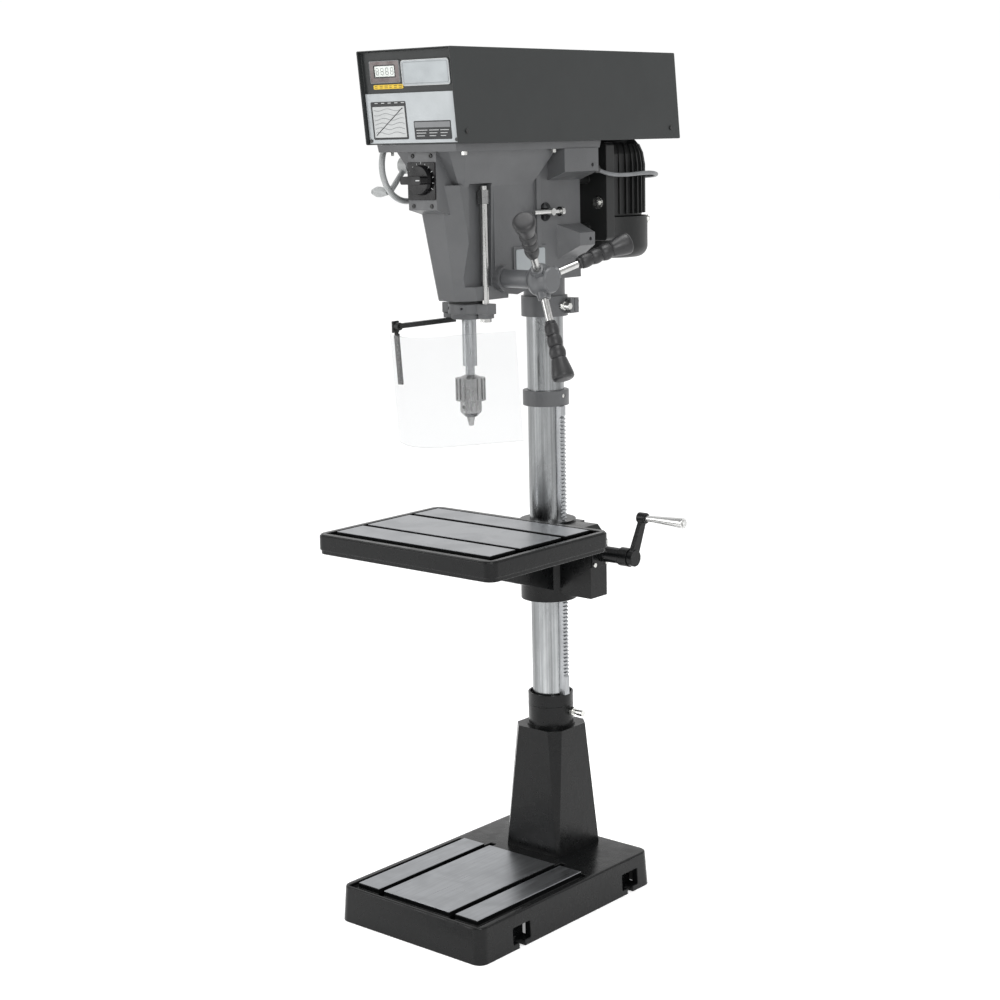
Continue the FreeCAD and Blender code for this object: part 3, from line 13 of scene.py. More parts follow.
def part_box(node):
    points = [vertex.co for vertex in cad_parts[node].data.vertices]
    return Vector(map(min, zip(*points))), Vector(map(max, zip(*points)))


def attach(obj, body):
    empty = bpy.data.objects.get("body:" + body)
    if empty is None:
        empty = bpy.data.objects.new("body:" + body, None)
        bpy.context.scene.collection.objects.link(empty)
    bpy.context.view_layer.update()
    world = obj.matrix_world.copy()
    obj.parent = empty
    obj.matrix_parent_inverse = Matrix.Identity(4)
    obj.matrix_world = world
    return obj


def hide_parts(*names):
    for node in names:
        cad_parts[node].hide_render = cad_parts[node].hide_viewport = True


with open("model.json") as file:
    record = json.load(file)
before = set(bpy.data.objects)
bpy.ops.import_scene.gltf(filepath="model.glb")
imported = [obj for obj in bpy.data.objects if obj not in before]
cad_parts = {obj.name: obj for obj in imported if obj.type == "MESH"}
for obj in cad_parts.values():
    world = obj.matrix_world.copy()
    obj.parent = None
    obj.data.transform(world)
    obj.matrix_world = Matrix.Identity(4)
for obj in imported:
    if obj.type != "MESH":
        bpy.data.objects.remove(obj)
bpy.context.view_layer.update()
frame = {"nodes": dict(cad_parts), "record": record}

NODES = frame["nodes"]
BODY_OF = {node: body for body, nodes in frame["record"]["behaviour"]["bodies"].items() for node in nodes}
MM = 0.001
X, Y, Z = Vector((1, 0, 0)), Vector((0, 1, 0)), Vector((0, 0, 1))


# ---------------------------------------------------------------- node materials
class Finish:
    """A Principled material with short calls for the patterns that the finishes share."""

    def __init__(self, name, colour, roughness, metallic=0.0, specular=0.5):
        self.material = bpy.data.materials.new(name)
        self.material.use_nodes = True
        self.tree = self.material.node_tree
        self.shader = self.tree.nodes["Principled BSDF"]
        self.shader.inputs["Base Color"].default_value = (*colour, 1)
        self.shader.inputs["Roughness"].default_value = roughness
        self.shader.inputs["Metallic"].default_value = metallic
        self.shader.inputs["Specular IOR Level"].default_value = specular
        self.colour = colour
        self.roughness = roughness
        self.place = self.node("ShaderNodeTexCoord").outputs["Object"]
        self.normal = None

    def node(self, kind, **settings):
        made = self.tree.nodes.new(kind)
        for key, value in settings.items():
            setattr(made, key, value)
        return made

    def link(self, source, target):
        self.tree.links.new(source, target)

    def put(self, node, key, value):
        """Link a socket to an input, or set the input to a plain value."""
        if isinstance(value, bpy.types.NodeSocket):
            self.link(value, node.inputs[key])
        else:
            node.inputs[key].default_value = value

    def stretched(self, stretch):
        mapping = self.node("ShaderNodeMapping")
        mapping.inputs["Scale"].default_value = stretch
        self.link(self.place, mapping.inputs["Vector"])
        return mapping.outputs["Vector"]

    def noise(self, scale, detail=3.0, stretch=None, rough=0.5, warp=0.0):
        noise = self.node("ShaderNodeTexNoise")
        self.link(self.stretched(stretch) if stretch else self.place, noise.inputs["Vector"])
        noise.inputs["Scale"].default_value = scale
        noise.inputs["Detail"].default_value = detail
        noise.inputs["Roughness"].default_value = rough
        noise.inputs["Distortion"].default_value = warp
        return noise.outputs["Fac"]

    def cells(self, scale):
        cells = self.node("ShaderNodeTexVoronoi", feature="F1")
        self.link(self.place, cells.inputs["Vector"])
        cells.inputs["Scale"].default_value = scale
        return cells.outputs["Distance"]

    def remap(self, value, low, high, out_low=0.0, out_high=1.0):
        node = self.node("ShaderNodeMapRange")
        self.link(value, node.inputs["Value"])
        node.inputs["From Min"].default_value = low
        node.inputs["From Max"].default_value = high
        node.inputs["To Min"].default_value = out_low
        node.inputs["To Max"].default_value = out_high
        return node.outputs["Result"]

    def math(self, operation, a, b=0.0):
        node = self.node("ShaderNodeMath", operation=operation)
        self.put(node, 0, a)
        self.put(node, 1, b)
        return node.outputs["Value"]

    def mix(self, factor, a, b):
        node = self.node("ShaderNodeMix", data_type="RGBA")
        self.put(node, 0, factor)
        for index, colour in ((6, a), (7, b)):
            self.put(node, index, colour if isinstance(colour, bpy.types.NodeSocket) else (*colour, 1))
        return node.outputs[2]

    def shade(self, factor):
        return tuple(min(1.0, c * factor) for c in self.colour)

    def mottled(self, scale, dark, light, detail=3.0, stretch=None):
        """Base colour that drifts between two shades of itself."""
        colour = self.mix(self.remap(self.noise(scale, detail, stretch), 0.3, 0.7),
                          self.shade(dark), self.shade(light))
        self.link(colour, self.shader.inputs["Base Color"])
        return colour

    def uneven_gloss(self, scale, spread, detail=3.0, stretch=None):
        rough = self.remap(self.noise(scale, detail, stretch), 0.3, 0.7,
                           self.roughness - spread, self.roughness + spread)
        self.link(rough, self.shader.inputs["Roughness"])

    def edge_mask(self, radius):
        """One on convex edges, from how far a rounded normal leaves the true one."""
        bevel = self.node("ShaderNodeBevel", samples=4)
        bevel.inputs["Radius"].default_value = radius
        normal = self.node("ShaderNodeNewGeometry").outputs["Normal"]
        dot = self.node("ShaderNodeVectorMath", operation="DOT_PRODUCT")
        self.link(bevel.outputs["Normal"], dot.inputs[0])
        self.link(normal, dot.inputs[1])
        return self.remap(dot.outputs["Value"], 1.0, 0.75)

    def worn(self, colour, bare, radius, amount):
        """Lighter paint along edges, broken up by noise."""
        breakup = self.remap(self.noise(90.0, 4), 0.35, 0.7, 0, amount)
        mask = self.math("MULTIPLY", self.edge_mask(radius), breakup)
        self.link(self.mix(mask, colour, bare), self.shader.inputs["Base Color"])

    def rounded(self, radius):
        bevel = self.node("ShaderNodeBevel", samples=4)
        bevel.inputs["Radius"].default_value = radius
        self.normal = bevel.outputs["Normal"]
        self.link(self.normal, self.shader.inputs["Normal"])

    def bump(self, height, strength, depth):
        bump = self.node("ShaderNodeBump")
        bump.inputs["Strength"].default_value = strength
        bump.inputs["Distance"].default_value = depth
        self.link(height, bump.inputs["Height"])
        if self.normal:
            self.link(self.normal, bump.inputs["Normal"])
        self.normal = bump.outputs["Normal"]
        self.link(self.normal, self.shader.inputs["Normal"])


def casting_enamel(name, colour, roughness, wear, specular=0.5):
    """Brushed or sprayed enamel over sand-cast iron: orange peel, pits and rubbed edges."""
    f = Finish(name, colour, roughness, specular=specular)
    base = f.mottled(9.0, 0.86, 1.12, 4)
    f.worn(base, f.shade(1.9), 0.0016, wear)
    f.uneven_gloss(35.0, 0.07, 4)
    f.rounded(0.0008)
    f.bump(f.noise(70.0, 5, rough=0.6), 0.28, 0.0012)
    f.bump(f.noise(620.0, 2), 0.20, 0.0003)
    return f.material


def sheet_paint(name, colour, roughness, specular=0.5):
    """Powder coat on bent sheet: very fine grain and faint long waves."""
    f = Finish(name, colour, roughness, specular=specular)
    base = f.mottled(2.5, 0.92, 1.08, 3)
    f.worn(base, f.shade(1.8), 0.001, 0.5)
    f.uneven_gloss(14.0, 0.05, 4)
    f.rounded(0.0006)
    f.bump(f.noise(1500.0, 2), 0.18, 0.00015)
    f.bump(f.noise(5.0, 1), 0.15, 0.0008)
    return f.material


def steel(name, colour, roughness, stretch, scale=300.0, smudge=0.08):
    """Machined steel: fine lines along one direction and a few dull patches."""
    f = Finish(name, colour, roughness, metallic=1.0)
    lines = f.noise(scale, 3, stretch)
    colour_out = f.mix(f.remap(lines, 0.3, 0.7), f.shade(0.82), f.shade(1.12))
    patch = f.remap(f.noise(16.0, 4, warp=0.6), 0.45, 0.75, 0, 0.5)
    f.link(f.mix(patch, colour_out, f.shade(0.72)), f.shader.inputs["Base Color"])
    rough = f.math("ADD", f.remap(lines, 0.3, 0.7, roughness - 0.05, roughness + 0.06),
                   f.math("MULTIPLY", patch, smudge * 2))
    f.link(rough, f.shader.inputs["Roughness"])
    f.rounded(0.0005)
    f.bump(lines, 0.25, 0.0002)
    return f.material


def zinc(name, colour, roughness):
    """Bright zinc plating with its faint cloudy crystals."""
    f = Finish(name, colour, roughness, metallic=1.0)
    clouds = f.cells(260.0)
    f.link(f.mix(f.remap(clouds, 0.0, 0.8), f.shade(0.88), f.shade(1.08)), f.shader.inputs["Base Color"])
    f.uneven_gloss(120.0, 0.07)
    f.rounded(0.0005)
    f.bump(f.noise(900.0, 2), 0.15, 0.0001)
    return f.material


def moulded(name, colour, roughness, grain=700.0, depth=0.0002, specular=0.5):
    """Moulded rubber or plastic: fine even grain, dust-dull in places."""
    f = Finish(name, colour, roughness, specular=specular)
    f.mottled(30.0, 0.85, 1.2, 3)
    f.uneven_gloss(50.0, 0.08)
    f.rounded(0.0005)
    f.bump(f.noise(grain, 2), 0.3, depth)
    return f.material


def clear_sheet(name, haze, roughness):
    """Clear polycarbonate with a faint milky haze and fine rub marks."""
    f = Finish(name, (0.850, 0.856, 0.858), roughness)
    f.shader.inputs["IOR"].default_value = 1.18
    f.shader.inputs["Transmission Weight"].default_value = 1.0 - haze
    f.uneven_gloss(25.0, 0.02, 4)
    f.bump(f.noise(4.0, 2), 0.05, 0.001)
    return f.material


def drawn_tube():
    """Bright drawn tube: long streaks along its length, oil smudges and a few dull rubs."""
    f = Finish("column_steel", (0.33, 0.34, 0.345), 0.22, metallic=1.0)
    streaks = f.noise(70.0, 4, (1.0, 1.0, 0.012), rough=0.65)
    fine = f.noise(420.0, 2, (1.0, 1.0, 0.006))
    smudge = f.remap(f.noise(11.0, 5, (1.0, 1.0, 0.35), rough=0.6, warp=0.8), 0.42, 0.70)
    tone = f.mix(f.remap(streaks, 0.36, 0.62), f.shade(0.50), f.shade(1.28))
    tone = f.mix(f.remap(fine, 0.35, 0.65, 0.0, 0.35), tone, f.shade(0.55))
    f.link(f.mix(f.math("MULTIPLY", smudge, 0.55), tone, f.shade(0.42)), f.shader.inputs["Base Color"])
    rough = f.math("ADD", f.remap(streaks, 0.36, 0.62, 0.26, 0.16), f.math("MULTIPLY", smudge, 0.16))
    f.link(rough, f.shader.inputs["Roughness"])
    f.bump(streaks, 0.25, 0.0003)
    f.bump(fine, 0.2, 0.0001)
    return f.material


def printed(name, colour, roughness=0.5, metallic=0.0):
    """Printed foil or silver paint with a very fine grain."""
    f = Finish(name, colour, roughness, metallic=metallic, specular=0.35)
    f.mottled(14.0, 0.95, 1.05, 3)
    f.uneven_gloss(60.0, 0.06)
    f.bump(f.noise(1400.0, 2), 0.12, 0.0001)
    return f.material


def laminated():
    f = Finish("stator_iron", (0.3, 0.3, 0.3), 0.45, metallic=1.0)
    lines = f.noise(1800.0, 1, (0.02, 0.02, 1))
    f.link(f.mix(lines, f.shade(0.6), f.shade(1.2)), f.shader.inputs["Base Color"])
    f.bump(lines, 0.4, 0.0003)
    return f.material


ROUND_THE_COLUMN = (0.03, 0.03, 1.0)
ALONG_X = (0.04, 1.0, 1.0)
ALONG_Y = (1.0, 0.04, 1.0)
ALONG_Z = (1.0, 1.0, 0.04)

FINISHES = {
    "black_enamel": casting_enamel("black_enamel", (0.0035, 0.0038, 0.004), 0.28, 0.35, specular=0.22),
    "hammer_grey": casting_enamel("hammer_grey", (0.080, 0.082, 0.085), 0.40, 0.30, specular=0.4),
    "cover_paint": sheet_paint("cover_paint", (0.020, 0.022, 0.022), 0.44, specular=0.32),
    "motor_paint": sheet_paint("motor_paint", (0.007, 0.0075, 0.0075), 0.42, specular=0.35),
    "ground_steel": steel("ground_steel", (0.36, 0.37, 0.38), 0.28, ALONG_Z),
    "polished_steel": steel("polished_steel", (0.30, 0.30, 0.30), 0.22, ALONG_Z, smudge=0.10),
    "zinc_bolts": zinc("zinc_bolts", (0.60, 0.60, 0.58), 0.26),
    "bearing_steel": steel("bearing_steel", (0.55, 0.55, 0.55), 0.22, ROUND_THE_COLUMN),
    "hub_iron": casting_enamel("hub_iron", (0.085, 0.088, 0.092), 0.36, 0.4),
    "grip_plastic": moulded("grip_plastic", (0.016, 0.016, 0.017), 0.42, specular=0.4),
    "bump_rubber": moulded("bump_rubber", (0.010, 0.010, 0.010), 0.65, 400.0),
    "belt_rubber": moulded("belt_rubber", (0.014, 0.014, 0.014), 0.7, 300.0),
    "pulley_aluminium": steel("pulley_aluminium", (0.58, 0.58, 0.60), 0.3, ROUND_THE_COLUMN),
    "stator_iron": laminated(),
    "cable_rubber": moulded("cable_rubber", (0.13, 0.135, 0.14), 0.42, 500.0),
    "plate_aluminium": printed("plate_aluminium", (0.36, 0.38, 0.39), 0.48, 0.25),
    "display_plastic": moulded("display_plastic", (0.035, 0.012, 0.010), 0.18, 900.0, 0.00005),
    "clear_sheet": clear_sheet("clear_sheet", 0.03, 0.035),
}
COLUMN_STEEL = drawn_tube()
PAD_STEEL = steel("pad_steel", (0.33, 0.34, 0.355), 0.32, ALONG_Y, scale=260.0, smudge=0.06)
ROD_STEEL = steel("rod_steel", (0.52, 0.52, 0.51), 0.2, (1.0, 0.06, 0.06), scale=320.0)
SILVER = steel("bright_silver", (0.66, 0.66, 0.65), 0.28, ALONG_X, smudge=0.03)
BLACK_OXIDE = moulded("black_oxide", (0.010, 0.010, 0.010), 0.35, 900.0, 0.00006)
BADGE_FOIL = printed("badge_foil", (0.30, 0.32, 0.33), 0.42, 0.35)
PALE_INK = printed("pale_ink", (0.42, 0.43, 0.43))
MID_INK = printed("mid_ink", (0.17, 0.175, 0.18))
DARK_INK = printed("dark_ink", (0.012, 0.013, 0.014), 0.4)
YELLOW_INK = printed("yellow_ink", (0.62, 0.42, 0.03))
WINDOW = moulded("window", (0.50, 0.53, 0.50), 0.12, 900.0, 0.00002)
GUARD_EDGE = clear_sheet("clear_edge", 0.45, 0.35)
WHEEL_PAINT = casting_enamel("wheel_silver", (0.30, 0.31, 0.31), 0.34, 0.3, specular=0.6)
GLOSS_BLACK = moulded("gloss_black", (0.0045, 0.0045, 0.005), 0.24, 900.0, 0.00005, specular=0.16)


def carried_over_finishes():
    """Every CAD node that stays gets its slot's finish."""
    for node in NODES.values():
        for index, slot in enumerate(node.material_slots):
            name = slot.material.name.split(".")[0]
            if name in FINISHES:
                node.material_slots[index].material = FINISHES[name]


# ---------------------------------------------------------------- pieces
def piece_from(bm, name, materials, node, replaces=()):
    """Turn a bmesh into an object on the body that the CAD node belongs to."""
    mesh = bpy.data.meshes.new(name)
    bm.normal_update()
    bm.to_mesh(mesh)
    bm.free()
    piece = bpy.data.objects.new(name, mesh)
    bpy.context.scene.collection.objects.link(piece)
    for material in materials if isinstance(materials, (list, tuple)) else (materials,):
        mesh.materials.append(material)
    settle(piece, node, replaces)
    return piece


def settle(piece, node, replaces=()):
    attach(piece, BODY_OF[node])
    if replaces:
        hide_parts(*replaces)


def smooth_by_angle(piece, degrees):
    mesh = piece.data
    mesh.polygons.foreach_set("use_smooth", [True] * len(mesh.polygons))
    mesh.set_sharp_from_angle(angle=math.radians(degrees))


def bevelled(piece, width, segments=2, degrees=30.0, clamp=True):
    modifier = piece.modifiers.new("edges", "BEVEL")
    modifier.width = width
    modifier.segments = segments
    modifier.limit_method = "ANGLE"
    modifier.angle_limit = math.radians(degrees)
    modifier.use_clamp_overlap = clamp
    modifier.harden_normals = True
    modifier.miter_outer = "MITER_ARC"


def softened(node, width, segments=2, degrees=30.0, materials=None, paint=None, clamp=False):
    """A copy of a CAD node with its sharp edges rounded. paint(face) picks a material index."""
    source = bmesh.new()
    source.from_mesh(NODES[node].data)
    bmesh.ops.remove_doubles(source, verts=source.verts, dist=0.00002)
    bmesh.ops.dissolve_limit(source, angle_limit=math.radians(0.4), verts=source.verts, edges=source.edges)
    source.verts.ensure_lookup_table()
    mesh = bpy.data.meshes.new(node + "_soft")
    faces = [[v.index for v in f.verts] for f in source.faces]
    mesh.from_pydata([v.co[:] for v in source.verts], [], faces)
    source.free()
    slot = NODES[node].data.materials[0].name.split(".")[0]
    for material in materials or [FINISHES[slot]]:
        mesh.materials.append(material)
    if paint:
        for face in mesh.polygons:
            face.material_index = paint(face)
    piece = bpy.data.objects.new(node + "_finished", mesh)
    bpy.context.scene.collection.objects.link(piece)
    smooth_by_angle(piece, degrees)
    bevelled(piece, width, segments, degrees, clamp)
    settle(piece, node, [node])


def add_lathe(bm, profile, origin, axis, segments):
    """Revolve (radius, distance along) points about an axis; a radius of 0 closes the end."""
    turn = Z.rotation_difference(Vector(axis).normalized()).to_matrix()
    rings = []
    for radius, along in profile:
        count = 1 if radius == 0 else segments
        points = [Vector((radius * math.cos(a), radius * math.sin(a), along))
                  for a in (2 * math.pi * k / segments for k in range(count))]
        rings.append([bm.verts.new(Vector(origin) + turn @ p) for p in points])
    for lower, upper in zip(rings, rings[1:]):
        for k in range(segments):
            a, b = lower[k % len(lower)], lower[(k + 1) % len(lower)]
            c, d = upper[(k + 1) % len(upper)], upper[k % len(upper)]
            corners = list(dict.fromkeys((a, b, c, d)))
            if len(corners) > 2:
                bm.faces.new(corners)


def finished_lathe(bm, name, materials, node, replaces=(), sharp=30.0):
    bmesh.ops.remove_doubles(bm, verts=bm.verts, dist=0.000001)
    bmesh.ops.recalc_face_normals(bm, faces=bm.faces)
    piece = piece_from(bm, name, materials, node, replaces)
    smooth_by_angle(piece, sharp)


def screw_profile(head_r, head_h, washer_r=0.0):
    """Pan head with a driver recess in its middle, on a washer if asked for."""
    profile = [(0, -0.001), (head_r, -0.001)]
    base = 0.0
    if washer_r:
        base = 0.0016
        profile = [(0, -0.001), (washer_r, -0.001), (washer_r, 0.0012), (washer_r - 0.0005, base)]
        profile.append((head_r, base))
    shape = ((1.0, 0.35), (0.86, 0.8), (0.6, 1.0), (0.42, 1.0), (0.36, 0.45), (0, 0.45))
    return profile + [(head_r * wide, base + head_h * high) for wide, high in shape]


def prism(bm, outline, along):
    """Add a closed prism to a bmesh from 3-D outline points and an extrusion vector."""
    low = [bm.verts.new(p) for p in outline]
    high = [bm.verts.new(Vector(p) + along) for p in outline]
    bm.faces.new(low[::-1])
    bm.faces.new(high)
    for k in range(len(low)):
        n = (k + 1) % len(low)
        bm.faces.new((low[k], low[n], high[n], high[k]))


# ---------------------------------------------------------------- castings
PLATE_SCREW_X = 0.023
PLATE_SCREW_Z = (1.4325, 1.5255)
FAN_SCREW_ANGLES = (-55, 35, 125, 215)
FAN_SCREW_DROP = 0.007


def castings():
    pad_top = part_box("base")[1].z
    table_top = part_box("table")[1].z

    def on_top(level):
        return lambda face: 1 if face.normal.z > 0.9 and face.center.z > level - 0.0012 else 0

    black = FINISHES["black_enamel"]
    softened("base", 0.0016, 3, materials=[black, PAD_STEEL], paint=on_top(pad_top))
    softened("table", 0.0014, 3, materials=[black, PAD_STEEL], paint=on_top(table_top))
    softened("pedestal", 0.0018, 3, 24.0, clamp=True)
    softened("table_bracket", 0.0010, 3, 24.0, clamp=True)
    softened("head_casting", 0.0012, 2, 30.0, clamp=True)
    for node in ("foot_collar", "rack_ring", "quill_collar", "gear_cover", "feed_spring_case", "feed_hub"):
        softened(node, 0.0008, 2)
    softened("belt_cover", 0.0010, 3)
    softened("motor_plate", 0.0014, 3)
    softened("junction_box", 0.0010, 2)
    softened("switch_plate", 0.0008, 2, materials=[GLOSS_BLACK])
    pin_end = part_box("crank_arm")[1].x - 0.012
    softened("crank_arm", 0.0010, 2, materials=[black, SILVER],
             paint=lambda face: int(face.center.x > pin_end))


def fittings():
    """Silver and black screws, the guard's edges, and the screws of switch box and fan cover."""
    side_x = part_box("belt_cover")[1].x - 0.001
    cover_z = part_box("belt_cover")[0].z

    def black_screws(face):
        on_side = abs(face.center.x) > side_x
        on_front = face.center.y < PANEL_TOP.y + 0.022 and face.center.z > cover_z
        return 1 if on_side or on_front else 0

    def edges(face):
        return 1 if face.area < 0.0004 and abs(face.normal.z) > 0.9 else 0

    softened("head_bolts", 0.0004, 2, materials=[FINISHES["zinc_bolts"], BLACK_OXIDE], paint=black_screws)
    softened("chuck_guard", 0.0004, 2, materials=[FINISHES["clear_sheet"], GUARD_EDGE], paint=edges)
    bm = bmesh.new()
    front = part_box("switch_plate")[1].y
    for x in (-PLATE_SCREW_X, PLATE_SCREW_X):
        for z in PLATE_SCREW_Z:
            add_lathe(bm, screw_profile(0.0042, 0.0022), (x, front, z), -Y, 32)
    finished_lathe(bm, "switch_box_screws", BLACK_OXIDE, "head_casting")
    bm = bmesh.new()
    low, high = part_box("fan_cover")
    middle = (low + high) / 2
    middle.z = high.z - FAN_SCREW_DROP
    radius = (high.x - low.x) / 2
    for angle in FAN_SCREW_ANGLES:
        a = math.radians(angle)
        away = Vector((math.cos(a), math.sin(a), 0))
        add_lathe(bm, screw_profile(0.0055, 0.004, 0.0085), middle + away * radius, away, 32)
    finished_lathe(bm, "fan_cover_screws", FINISHES["zinc_bolts"], "fan_cover")


def steel_nodes():
    NODES["column"].material_slots[0].material = COLUMN_STEEL
    for node in ("depth_rod", "feed_rods", "tension_lock"):
        NODES[node].material_slots[0].material = ROD_STEEL
    NODES["crank_handle"].material_slots[0].material = SILVER
    for node in ("speed_wheel", "speed_wheel_knob"):
        NODES[node].material_slots[0].material = WHEEL_PAINT
    NODES["switch_knob"].material_slots[0].material = GLOSS_BLACK


# ---------------------------------------------------------------- front panel
PANEL_TOP = Vector((0.0, -0.389, 1.717))
PANEL_LEAN = math.atan2(0.019, 0.173)
PLATE_OUT = 0.0022
BUTTON_AT = (0.015, -0.30)


def panel_point(x, drop, out):
    """A point on the leaning front: x and the way down its face in mm, height off it in metres."""
    down = Vector((0, math.sin(PANEL_LEAN), -math.cos(PANEL_LEAN)))
    away = Vector((0, -math.cos(PANEL_LEAN), -math.sin(PANEL_LEAN)))
    return PANEL_TOP + X * (x * MM) + down * (drop * MM) + away * out


def rounded_outline(x0, x1, d0, d1, corner, steps=6):
    """Corner-rounded rectangle on the panel, as (x, drop) points."""
    points = []
    for cx, cd, start in ((x1 - corner, d0 + corner, -90), (x1 - corner, d1 - corner, 0),
                          (x0 + corner, d1 - corner, 90), (x0 + corner, d0 + corner, 180)):
        for k in range(steps + 1):
            a = math.radians(start + 90 * k / steps)
            points.append((cx + corner * math.cos(a), cd + corner * math.sin(a)))
    return points


def add_patch(bm, outline, out0, out1, material):
    """A thin plate on the panel from an outline in (x, drop)."""
    before = set(bm.faces)
    prism(bm, [panel_point(x, d, out0) for x, d in outline],
          panel_point(*outline[0], out1) - panel_point(*outline[0], out0))
    for face in set(bm.faces) - before:
        face.material_index = material


def add_rim(bm, outer, inner, out0, out1, material):
    """A raised rim between two outlines with the same number of points."""
    rows = [[bm.verts.new(panel_point(x, d, out)) for x, d in line]
            for line, out in ((outer, out0), (outer, out1), (inner, out1), (inner, out0))]
    count = len(outer)
    for near, far in zip(rows, rows[1:] + rows[:1]):
        for k in range(count):
            face = bm.faces.new((near[k], near[(k + 1) % count], far[(k + 1) % count], far[k]))
            face.material_index = material


def add_line(bm, points, width, out0, out1, material):
    """A raised printed line along (x, drop) points."""
    for (xa, da), (xb, db) in zip(points, points[1:]):
        run = math.hypot(xb - xa, db - da)
        nx, nd = -(db - da) / run * width / 2, (xb - xa) / run * width / 2
        add_patch(bm, [(xa + nx, da + nd), (xb + nx, db + nd), (xb - nx, db - nd), (xa - nx, da - nd)],
                  out0, out1, material)


def panel_piece(bm, name, materials, node="label_plates", width=0.0):
    bmesh.ops.recalc_face_normals(bm, faces=bm.faces)
    piece = piece_from(bm, name, materials, node)
    smooth_by_angle(piece, 30.0)
    if width:
        bevelled(piece, width, 2, 40.0)


def front_panel():
    softened("label_plates", 0.0004, 2, materials=[FINISHES["plate_aluminium"], BADGE_FOIL],
             paint=lambda face: 1 if face.center.z > 1.645 or face.center.z < 1.4 else 0)

    bm = bmesh.new()
    add_rim(bm, rounded_outline(-13, 106, 17, 64, 6), rounded_outline(-11.6, 104.6, 18.4, 62.6, 4.8),
            0.002, 0.0032, 0)
    add_rim(bm, rounded_outline(-9, 102, 21, 60, 3.5), rounded_outline(-8.3, 101.3, 21.7, 59.3, 3),
            0.0023, 0.0027, 1)
    panel_piece(bm, "badge_rim", [PALE_INK, MID_INK], width=0.0003)

    bm = bmesh.new()
    add_rim(bm, rounded_outline(-92.8, -17.2, 16.2, 56.8, 2.6),
            rounded_outline(-91.8, -18.2, 17.2, 55.8, 1.8), 0.0002, 0.0042, 1)
    add_rim(bm, rounded_outline(-82.3, -27.7, 23.7, 47.3, 1.8),
            rounded_outline(-80.9, -29.1, 25.1, 45.9, 1), 0.0036, 0.0045, 3)
    add_patch(bm, rounded_outline(-80.2, -29.8, 25.8, 45.2, 1), 0.0031, 0.0035, 2)
    for k in range(4):
        x = -73.5 + 12.4 * k
        for d in (29.5, 35.5, 41.5):
            add_line(bm, [(x - 2.6, d), (x + 2.6, d)], 0.9, 0.0034, 0.00365, 3)
        for side in (-3.2, 3.2):
            add_line(bm, [(x + side, 30.2), (x + side, 34.8)], 0.9, 0.0034, 0.00365, 3)
            add_line(bm, [(x + side, 36.2), (x + side, 40.8)], 0.9, 0.0034, 0.00365, 3)
    panel_piece(bm, "display_frame", [PALE_INK, MID_INK, WINDOW, DARK_INK], "display_unit")

    bm = bmesh.new()
    add_patch(bm, rounded_outline(-90, -14, 60, 68, 1.5), 0.0001, 0.0006, 0)
    for row in range(2):
        for k in range(6):
            x = -86 + 12.2 * k
            add_line(bm, [(x, 62.4 + 3.2 * row), (x + 6 + k % 3, 62.4 + 3.2 * row)], 1.0, 0.0005, 0.0008, 1)
    panel_piece(bm, "caution_strip", [YELLOW_INK, DARK_INK])

    diagram_label()
    rating_label()


def diagram_label():
    """Speed diagram: a dark frame, a pale field, wavy speed lines and one diagonal."""
    bm = bmesh.new()
    add_patch(bm, rounded_outline(-101, -11, 91, 161, 3), PLATE_OUT, PLATE_OUT + 0.0004, 0)
    add_patch(bm, rounded_outline(-97, -15, 100, 157, 1), PLATE_OUT + 0.0003, PLATE_OUT + 0.0006, 1)
    top = PLATE_OUT + 0.0008
    for row in range(6):
        level = 106 + 8.6 * row
        wave = [(-94 + 4 * k, level + 2.0 * math.sin(0.55 * k + 0.7 * row)) for k in range(20)]
        add_line(bm, wave, 0.9, PLATE_OUT + 0.0005, top, 2)
    add_line(bm, [(-93, 153), (-20, 103)], 1.6, PLATE_OUT + 0.0005, top + 0.0001, 0)
    for k in range(5):
        add_line(bm, [(-90 + 17 * k, 93.5), (-82 + 17 * k, 93.5)], 1.4, PLATE_OUT + 0.0003, top, 1)
    panel_piece(bm, "diagram_label", [DARK_INK, PALE_INK, MID_INK])


def rating_label():
    """Dark label with pale blank rows and a grey band above it."""
    bm = bmesh.new()
    add_patch(bm, rounded_outline(5, 97, 128, 162, 2), PLATE_OUT, PLATE_OUT + 0.0004, 0)
    add_patch(bm, rounded_outline(7, 95, 130, 140, 1), PLATE_OUT + 0.0003, PLATE_OUT + 0.0006, 2)
    for row in range(3):
        level = 145 + 5.2 * row
        for x0, x1 in ((10, 38), (42, 66), (70, 91)):
            bar = [(x0, level), (x1 - 4 * row, level)]
            add_line(bm, bar, 1.2, PLATE_OUT + 0.0003, PLATE_OUT + 0.0007, 1)
    panel_piece(bm, "rating_label", [DARK_INK, PALE_INK, MID_INK])


def cover_button():
    """The round button on the cover's top."""
    bm = bmesh.new()
    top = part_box("belt_cover")[1].z
    add_lathe(bm, [(0.009, -0.001), (0.009, 0.001), (0.0075, 0.0035), (0.004, 0.0048), (0, 0.005)],
              (*BUTTON_AT, top), Z, 40)
    finished_lathe(bm, "cover_button", BLACK_OXIDE, "belt_cover")


# ---------------------------------------------------------------- levers, grips and switch
HUB_AT = Vector((0.151, -0.195, 1.2895))
LEVER_TILT = math.radians(23.5)
LEVER_ANGLES = (140.0, 260.0, 20.0)
GRIP_START, GRIP_END = 0.085, 0.202
SWITCH_Z = 1.481
MARK_H = 0.0004
TICK_START, TICK_END, LONG_TICK_END = 0.0292, 0.0325, 0.0338


def lever_direction(angle):
    a = math.radians(angle)
    across = math.cos(LEVER_TILT)
    return Vector((math.sin(LEVER_TILT), across * math.cos(a), across * math.sin(a)))


